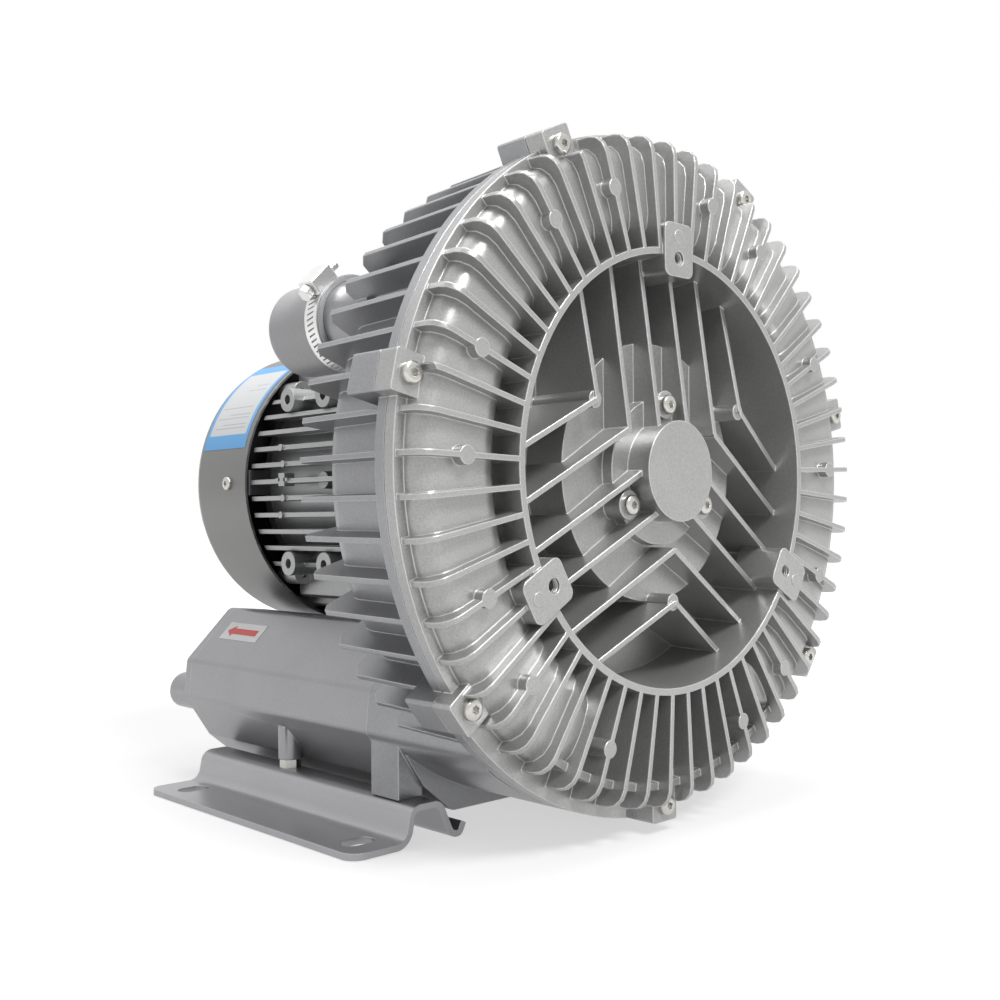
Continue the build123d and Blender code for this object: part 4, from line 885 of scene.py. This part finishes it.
def curved_foil(name, radius, thickness, y_range, angle_range, steps):
    """A thin foil round the motor axis with its own map, closed all round."""
    mesh = bpy.data.meshes.new(name)
    places = []
    spots = []
    for level in (0, thickness):
        for step in range(steps + 1):
            part = step / steps
            angle = angle_range[0] + (angle_range[1] - angle_range[0]) * part
            for side, y in enumerate(y_range):
                places.append(round_the_axis(radius + level, angle, y))
                spots.append((side, part))
    per_level = 2 * (steps + 1)
    faces = []
    for step in range(steps):
        inner = 2 * step
        outer = per_level + 2 * step
        faces.append((inner, inner + 1, inner + 3, inner + 2))
        faces.append((outer, outer + 2, outer + 3, outer + 1))
        faces.append((inner, inner + 2, outer + 2, outer))
        faces.append((inner + 1, outer + 1, outer + 3, inner + 3))
    faces.append((0, per_level, per_level + 1, 1))
    last = 2 * steps
    faces.append((last, last + 1, per_level + last + 1, per_level + last))
    mesh.from_pydata(places, [], faces)
    foil_map = mesh.uv_layers.new(name="foil")
    for loop in mesh.loops:
        foil_map.data[loop.index].uv = spots[loop.vertex_index]
    shape = bmesh.new()
    shape.from_mesh(mesh)
    bmesh.ops.recalc_face_normals(shape, faces=shape.faces)
    shape.to_mesh(mesh)
    shape.free()
    mesh.shade_smooth()
    mesh.set_sharp_from_angle(angle=math.radians(soft_edge_angle))
    return mesh


label_blue = (0.15, 0.42, 0.78, 1)
label_white = (0.66, 0.67, 0.68, 1)
rule_grey = (0.35, 0.37, 0.40, 1)
label_foil, label_tree, label_shader = start_material("label_foil", 0.0)
label_shader.inputs["Roughness"].default_value = 0.5
label_spot = add_node(label_tree, "ShaderNodeUVMap", uv_map="foil").outputs["UV"]
label_axes = add_node(label_tree, "ShaderNodeSeparateXYZ", {0: label_spot})


def between(tree, value, low, high):
    """One inside a stretch and nought outside it."""
    above = calculate(tree, value, low, "GREATER_THAN")
    below = calculate(tree, value, high, "LESS_THAN")
    return calculate(tree, above, below, "MULTIPLY")


across, along = label_axes.outputs["X"], label_axes.outputs["Y"]
field_sides = (0.06, 0.94)
field_ends = (0.13, 0.86)
field_across = between(label_tree, across, *field_sides)
field_along = between(label_tree, along, *field_ends)
field = calculate(label_tree, field_across, field_along, "MULTIPLY")
label_colour = blend_colours(label_tree, field, label_blue, label_white)
rule_start = 0.14
rule_width = 0.011
rule_strength = 0.55
rule_rows = (
    (0.19, 0.85), (0.225, 0.70), (0.29, 0.88), (0.325, 0.62), (0.40, 0.88), (0.60, 0.55), (0.66, 0.45),
)
for row, reach in rule_rows:
    rule_along = between(label_tree, along, row, row + rule_width)
    rule_across = between(label_tree, across, rule_start, reach)
    rule = calculate(label_tree, rule_along, rule_across, "MULTIPLY")
    rule_part = calculate(label_tree, rule, rule_strength, "MULTIPLY")
    label_colour = blend_colours(label_tree, rule_part, label_colour, rule_grey)
label_tree.links.new(label_colour, label_shader.inputs["Base Color"])
paper_grain_scale = 300.0
paper_grain_height = 0.00002
label_place = add_node(label_tree, "ShaderNodeTexCoord").outputs["Object"]
label_grain = add_node(
    label_tree, "ShaderNodeTexNoise", {"Vector": label_place, "Scale": paper_grain_scale}
)
label_bump = add_node(
    label_tree, "ShaderNodeBump", {"Height": label_grain.outputs["Fac"], "Distance": paper_grain_height}
)
label_tree.links.new(label_bump.outputs["Normal"], label_shader.inputs["Normal"])
label_mesh = curved_foil(
    "rating_label", label_radius, label_thickness, (label_front, label_rear),
    (label_bottom_angle, label_top_angle), label_steps,
)
label_mesh.materials.append(label_foil)
keep_piece("rating_label", label_mesh, "machine")

# Silencers
# Two smooth boxes in satin aluminium lie under the motor and quieten the air on its way in and out.
# Each is closed at the rear by an end plate with its port, held by four screws.
silencer_silver = sprayed_metal(
    "silencer_silver", (0.32, 0.32, 0.33), (0.70, 0.70, 0.72), 0.78, 0.31, grain=1100, sparkle=0.06,
    mottle=0.04, edge_radius=0.0012, highlight_strength=0.4,
)
rear = Vector((0, 1, 0))
plate_head_height = 0.0025
plate_screw_radius = 0.0025
wide_edge_angle = 50
silencer_parts = (("silencer_body_", "silencer_shell_"), ("silencer_end_", "silencer_plate_"))
for side in ("left", "right"):
    for node_start, piece_start in silencer_parts:
        dressed(
            node_start + side, piece_start + side, silencer_silver, wide_edge_angle
        )
star_screws(
    "silencer_end_screws", "silencer_star_screws", lambda middle: rear, plate_head_height,
    plate_screw_radius, 9,
)

# Port threads
# Each silencer's port ends in a pipe thread, cut into the end plate.
# A pipe or a filter is screwed into it.
port_mouth = 0.1495
port_height = 0.068
port_reach = 0.072
port_thread = {"Radius": 0.0284, "Length": 0.019, "Turns": 8.0, "Ridge": 0.0011, "Steps": 56, "Seed": 1}
port_seats = [(Vector((x, port_mouth, port_height)), rear) for x in (-port_reach, port_reach)]
grow(
    thread_tree, "port_threads", seat_mesh("port_thread_places", port_seats),
    port_thread, silencer_silver, "machine",
)

# Flow sticker
# A small printed foil is stuck to the left silencer's upper slope.
# It is white, with a plain red arrow for the flow of air.
slope_top = Vector((-0.090, 0, axis_z - 0.093))
slope_foot = Vector((-0.126, 0, axis_z - 0.129))
slope_along = (slope_foot - slope_top).normalized()
slope_out = Vector((slope_along.z, 0, -slope_along.x))
sticker_rear = 0.127
sticker_front = 0.078
sticker_top = 0.0135
sticker_height = 0.0155
sticker_thickness = 0.0002
arrow_thickness = 0.0003


def slope_foil(name, outline, thickness, material):
    """A thin foil on the slope, drawn from its top rear corner."""
    places = []
    for level in (0, thickness):
        for reach, drop in outline:
            place = slope_top + slope_along * (sticker_top + drop) + slope_out * level
            places.append((place.x, sticker_rear - reach, place.z))
    count = len(outline)
    faces = [tuple(range(count)), tuple(reversed(range(count, 2 * count)))]
    for corner in range(count):
        following = (corner + 1) % count
        faces.append((following, corner, count + corner, count + following))
    mesh = bpy.data.meshes.new(name)
    mesh.from_pydata(places, [], faces)
    mesh.materials.append(material)
    return mesh


foil_finish = {"grain": 500, "edge_radius": 0.0002, "highlight_strength": 0.2, "bump": 0.00001}
sticker_white = sprayed_metal(
    "sticker_white", (0.72, 0.72, 0.73), (0.8, 0.8, 0.8), 0.0, 0.4, sparkle=0.02, mottle=0.02, **foil_finish
)
arrow_red = sprayed_metal(
    "arrow_red", (0.62, 0.06, 0.06), (0.68, 0.12, 0.12), 0.0, 0.4, sparkle=0.03, mottle=0.03, **foil_finish
)
sticker_length = sticker_rear - sticker_front
sticker_outline = ((0, 0), (sticker_length, 0), (sticker_length, sticker_height), (0, sticker_height))
arrow_outline = (
    (0.004, 0.0078), (0.012, 0.0028), (0.012, 0.0052), (0.043, 0.0052),
    (0.043, 0.0104), (0.012, 0.0104), (0.012, 0.0128),
)
for name, outline, thickness, material in (
    ("flow_sticker", sticker_outline, sticker_thickness, sticker_white),
    ("flow_arrow", arrow_outline, arrow_thickness, arrow_red),
):
    keep_piece(name, slope_foil(name, outline, thickness, material), "machine")

# Foot rails
# Each rail is pressed from steel sheet, with a hump that carries the silencer and the housing.
# It is sprayed silver and has two slots for the floor bolts.
rail_silver = sprayed_metal(
    "rail_silver", (0.40, 0.40, 0.413), (0.80, 0.80, 0.82), 0.78, 0.32, grain=1300, sparkle=0.05,
    mottle=0.03, edge_radius=0.0008, highlight_strength=0.4,
)
for side in ("left", "right"):
    dressed("foot_rail_" + side, "foot_pressing_" + side, rail_silver, wide_edge_angle)

# Rubber cap and hose clamp
# A moulded grey rubber cap closes the spare port.
# A zinc plated worm drive clamp holds it, with a pressed housing for the worm screw.
cap_grey = sprayed_metal(
    "cap_grey", (0.40, 0.40, 0.41), (0.46, 0.46, 0.47), 0.2, 0.38, grain=700, sparkle=0.05, mottle=0.04,
    edge_radius=0.0008, highlight_strength=0.2,
)
clamp_zinc = sprayed_metal(
    "bright_zinc", (0.84, 0.84, 0.83), (0.95, 0.95, 0.95), 0.7, 0.30, grain=500, sparkle=0.03, mottle=0.05,
    edge_radius=0.0003, highlight_strength=0.5, bump=0.000005,
)
dressed("rubber_cap", "port_cap", cap_grey, wide_edge_angle)
pressed_edge_radius = 0.0013
pressed_edge_steps = 3
pressed_edge_angle = 40
worm_housing = dressed("clamp_housing", "worm_housing", clamp_zinc)
pressed_edges = worm_housing.modifiers.new("pressed_edges", "BEVEL")
pressed_edges.width = pressed_edge_radius
pressed_edges.segments = pressed_edge_steps
pressed_edges.limit_method = "ANGLE"
pressed_edges.angle_limit = math.radians(pressed_edge_angle)
worm_housing.modifiers.move(1, 0)
dressed("clamp_screw", "worm_screw", clamp_zinc)

# Clamp band
# A strip of bright steel with slanted slots, which the worm's thread drives in.
# One slotted length is repeated round the cap.
band_low, band_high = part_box("clamp_band")
band_middle = Vector(((band_low[0] + band_high[0]) / 2, 0, (band_low[2] + band_high[2]) / 2))
band_outer = (band_high[0] - band_low[0]) / 2
band_thickness = 0.0008
band_count = 56
slot_half_height = 0.0032
slot_slant = 0.25
slot_half_width = 0.16


def slotted_length(outer_radius, thickness, y_low, y_high, count):
    """One length of the band round its own axis, with its slot cut through."""
    step = 2 * math.pi / count
    y_middle = (y_low + y_high) / 2
    outline = [(-0.5, y_low), (0.5, y_low), (0.5, y_high), (-0.5, y_high)]
    hole = [
        (-slot_half_width - slot_slant, y_middle - slot_half_height),
        (slot_half_width - slot_slant, y_middle - slot_half_height),
        (slot_half_width + slot_slant, y_middle + slot_half_height),
        (-slot_half_width + slot_slant, y_middle + slot_half_height),
    ]
    places = []
    for radius in (outer_radius, outer_radius - thickness):
        for part, y in outline + hole:
            angle = part * step
            places.append((radius * math.cos(angle), y, radius * math.sin(angle)))
    faces = []
    for corner in range(4):
        following = (corner + 1) % 4
        faces.append((corner, following, 4 + following, 4 + corner))
        faces.append((8 + following, 8 + corner, 12 + corner, 12 + following))
        faces.append((4 + corner, 4 + following, 12 + following, 12 + corner))
    faces.append((0, 8, 9, 1))
    faces.append((2, 10, 11, 3))
    mesh = bpy.data.meshes.new("slotted_length")
    mesh.from_pydata(places, [], faces)
    return mesh


ring_tree, ring_in, ring_end = new_tree("slotted_band", (("Count", band_count),))
ring_points = add_node(ring_tree, "GeometryNodePoints", {"Count": ring_in["Count"]})
ring_index = add_node(ring_tree, "GeometryNodeInputIndex")
ring_step = calculate(ring_tree, -2 * math.pi, ring_in["Count"], "DIVIDE")
ring_angle = calculate(ring_tree, ring_index.outputs[0], ring_step, "MULTIPLY")
ring_turn = add_node(
    ring_tree, "FunctionNodeAxisAngleToRotation", {"Axis": (0, 1, 0), "Angle": ring_angle}
)
ring_lengths = add_node(
    ring_tree,
    "GeometryNodeInstanceOnPoints",
    {"Points": ring_points.outputs[0], "Instance": ring_in["Seats"], "Rotation": ring_turn.outputs[0]},
)
ring_place = add_node(
    ring_tree, "GeometryNodeTransform", {"Geometry": ring_lengths.outputs[0], "Translation": band_middle}
)
ring_real = add_node(ring_tree, "GeometryNodeRealizeInstances", {"Geometry": ring_place.outputs[0]})
ring_finished = add_node(
    ring_tree,
    "GeometryNodeSetMaterial",
    {"Geometry": ring_real.outputs[0], "Material": ring_in["Material"]},
)
ring_tree.links.new(ring_finished.outputs[0], ring_end.inputs[0])
band_length = slotted_length(band_outer, band_thickness, band_low[1], band_high[1], band_count)
grow(
    ring_tree, "slotted_band", band_length, {"Count": band_count}, clamp_zinc, "machine",
    ("clamp_band",),
)

# Terminal box
# The box and its lid are cast in aluminium and sprayed like the motor, with four screws in the lid.
# Gland and plug are moulded in black plastic and screwed into the box's walls.
box_silver = sprayed_metal(
    "box_silver", (0.30, 0.30, 0.305), (0.6, 0.6, 0.61), 0.6, 0.4, sparkle=0.06, edge_radius=0.001, highlight_strength=0.5
)
black_plastic = sprayed_metal(
    "black_plastic", (0.022, 0.022, 0.024), (0.06, 0.06, 0.06), 0.0, 0.45, grain=800, sparkle=0.1,
    mottle=0.1, edge_radius=0.0006, highlight_strength=0.4,
)
dressed("terminal_box", "box_casting", box_silver)
dressed("terminal_box_lid", "box_lid_casting", box_silver)
dressed("cable_gland", "gland_body", black_plastic)
dressed("blanking_plug", "plug_body", black_plastic)
upward = Vector((0, 0, 1))
lid_head_height = 0.002
lid_screw_radius = 0.002
star_screws(
    "terminal_lid_screws", "lid_star_screws", lambda middle: upward, lid_head_height, lid_screw_radius, 11
)

# Fasteners
# Hexagon bolts, nuts and a washer in bright steel hold the motor, the feet and the impeller.
# All are bought in and turned down onto their seats.
hexagon_screws = (
    ("motor_flange_bolts", "flange_bolts"),
    ("motor_tie_bolts", "tie_bolts"),
    ("foot_bolts", "foot_screws"),
    ("foot_nuts", "foot_hexagon_nuts"),
    ("shaft_end_screw", "shaft_screw"),
    ("shaft_end_washer", "shaft_washer"),
)
for node_name, piece_name in hexagon_screws:
    dressed(node_name, piece_name, bright_steel)

# Inner pieces
# Rotor, bearings, seals and foam are out of sight and keep the shapes they are made in.
# Each gets the finish of its own metal, rubber or plastic.
def coat(node_names, material):
    """Gives CAD pieces their finish where their own shape stays."""
    for name in node_names:
        data = nodes[name].data
        data.materials.clear()
        data.materials.append(material)


black_rubber = sprayed_metal(
    "black_rubber", (0.02, 0.02, 0.02), (0.03, 0.03, 0.03), 0.0, 0.6, grain=700, sparkle=0.1, mottle=0.1,
    highlight_strength=0.2,
)
machined = sprayed_metal(
    "machined_aluminium", (0.68, 0.68, 0.68), (0.85, 0.85, 0.85), 0.95, 0.3, grain=700, sparkle=0.05,
    mottle=0.05,
)

line_group, line_in, line_out = new_group(
    "fine_lines",
    (
        ("Colour", "NodeSocketColor", (0.5, 0.5, 0.5, 1)),
        ("Groove Colour", "NodeSocketColor", (0.2, 0.2, 0.2, 1)),
        ("Lines Per Metre", "NodeSocketFloat", 1000),
        ("Wander", "NodeSocketFloat", 0.5),
    ),
    (("Colour", "NodeSocketColor"), ("Height", "NodeSocketFloat")),
)
line_place = add_node(line_group, "ShaderNodeTexCoord").outputs["Object"]
line_values = {
    "Vector": line_place,
    "Scale": line_in.outputs["Lines Per Metre"],
    "Distortion": line_in.outputs["Wander"],
}
line_wave = add_node(
    line_group, "ShaderNodeTexWave", line_values, wave_type="BANDS", bands_direction="Y"
)
line_colour = blend_colours(
    line_group, line_wave.outputs["Fac"], line_in.outputs["Groove Colour"], line_in.outputs["Colour"]
)
line_group.links.new(line_colour, line_out.inputs["Colour"])
line_group.links.new(line_wave.outputs["Fac"], line_out.inputs["Height"])


def lined_metal(name, colour, groove, roughness, lines, wander, bump):
    """Metal with fine lines across the motor axis, from turning or from its layers."""
    material, tree, shader = start_material(name, 1.0)
    shader.inputs["Roughness"].default_value = roughness
    line_look = {
        "Colour": (*colour, 1),
        "Groove Colour": (*groove, 1),
        "Lines Per Metre": lines,
        "Wander": wander,
    }
    lined = add_node(tree, "ShaderNodeGroup", line_look, node_tree=line_group)
    line_bump = add_node(tree, "ShaderNodeBump", {"Height": lined.outputs["Height"], "Distance": bump})
    tree.links.new(lined.outputs["Colour"], shader.inputs["Base Color"])
    tree.links.new(line_bump.outputs["Normal"], shader.inputs["Normal"])
    return material


turned_steel = lined_metal(
    "lathe_turned_steel", (0.55, 0.55, 0.55), (0.42, 0.42, 0.42), 0.25, lines=600, wander=1.5, bump=0.00001
)
core_steel = lined_metal(
    "laminated_steel", (0.24, 0.24, 0.25), (0.10, 0.10, 0.11), 0.45, lines=320, wander=0.0, bump=0.0001
)
copper = lined_metal(
    "copper_wire", (0.58, 0.25, 0.10), (0.28, 0.10, 0.04), 0.35, lines=260, wander=6.0, bump=0.0003
)
brass = sprayed_metal(
    "turned_brass", (0.60, 0.44, 0.18), (0.8, 0.65, 0.35), 1.0, 0.3, grain=700, sparkle=0.05, mottle=0.05
)
foam_grey = sprayed_metal(
    "foam_grey", (0.06, 0.06, 0.065), (0.08, 0.08, 0.085), 0.0, 0.95, grain=260, sparkle=0.4,
    mottle=0.2, highlight_strength=0.1, bump=0.0008,
)
coat(("casing_gasket", "terminal_box_gasket", "gland_seal", "shaft_seal"), black_rubber)
coat(("impeller", "rotor_end_rings"), machined)
coat(
    (
        "shaft", "impeller_key", "impeller_spacer", "bearing_retainer", "front_bearing_outer_ring",
        "front_bearing_inner_ring", "rear_bearing_outer_ring", "rear_bearing_inner_ring", "wave_spring",
        "fan_clamp",
    ),
    turned_steel,
)
coat(("stator_core", "rotor_core"), core_steel)
coat(("stator_windings",), copper)
coat(("terminal_studs",), brass)
coat(("silencer_foam_left", "silencer_foam_right"), foam_grey)
coat(("cooling_fan", "terminal_block"), black_plastic)
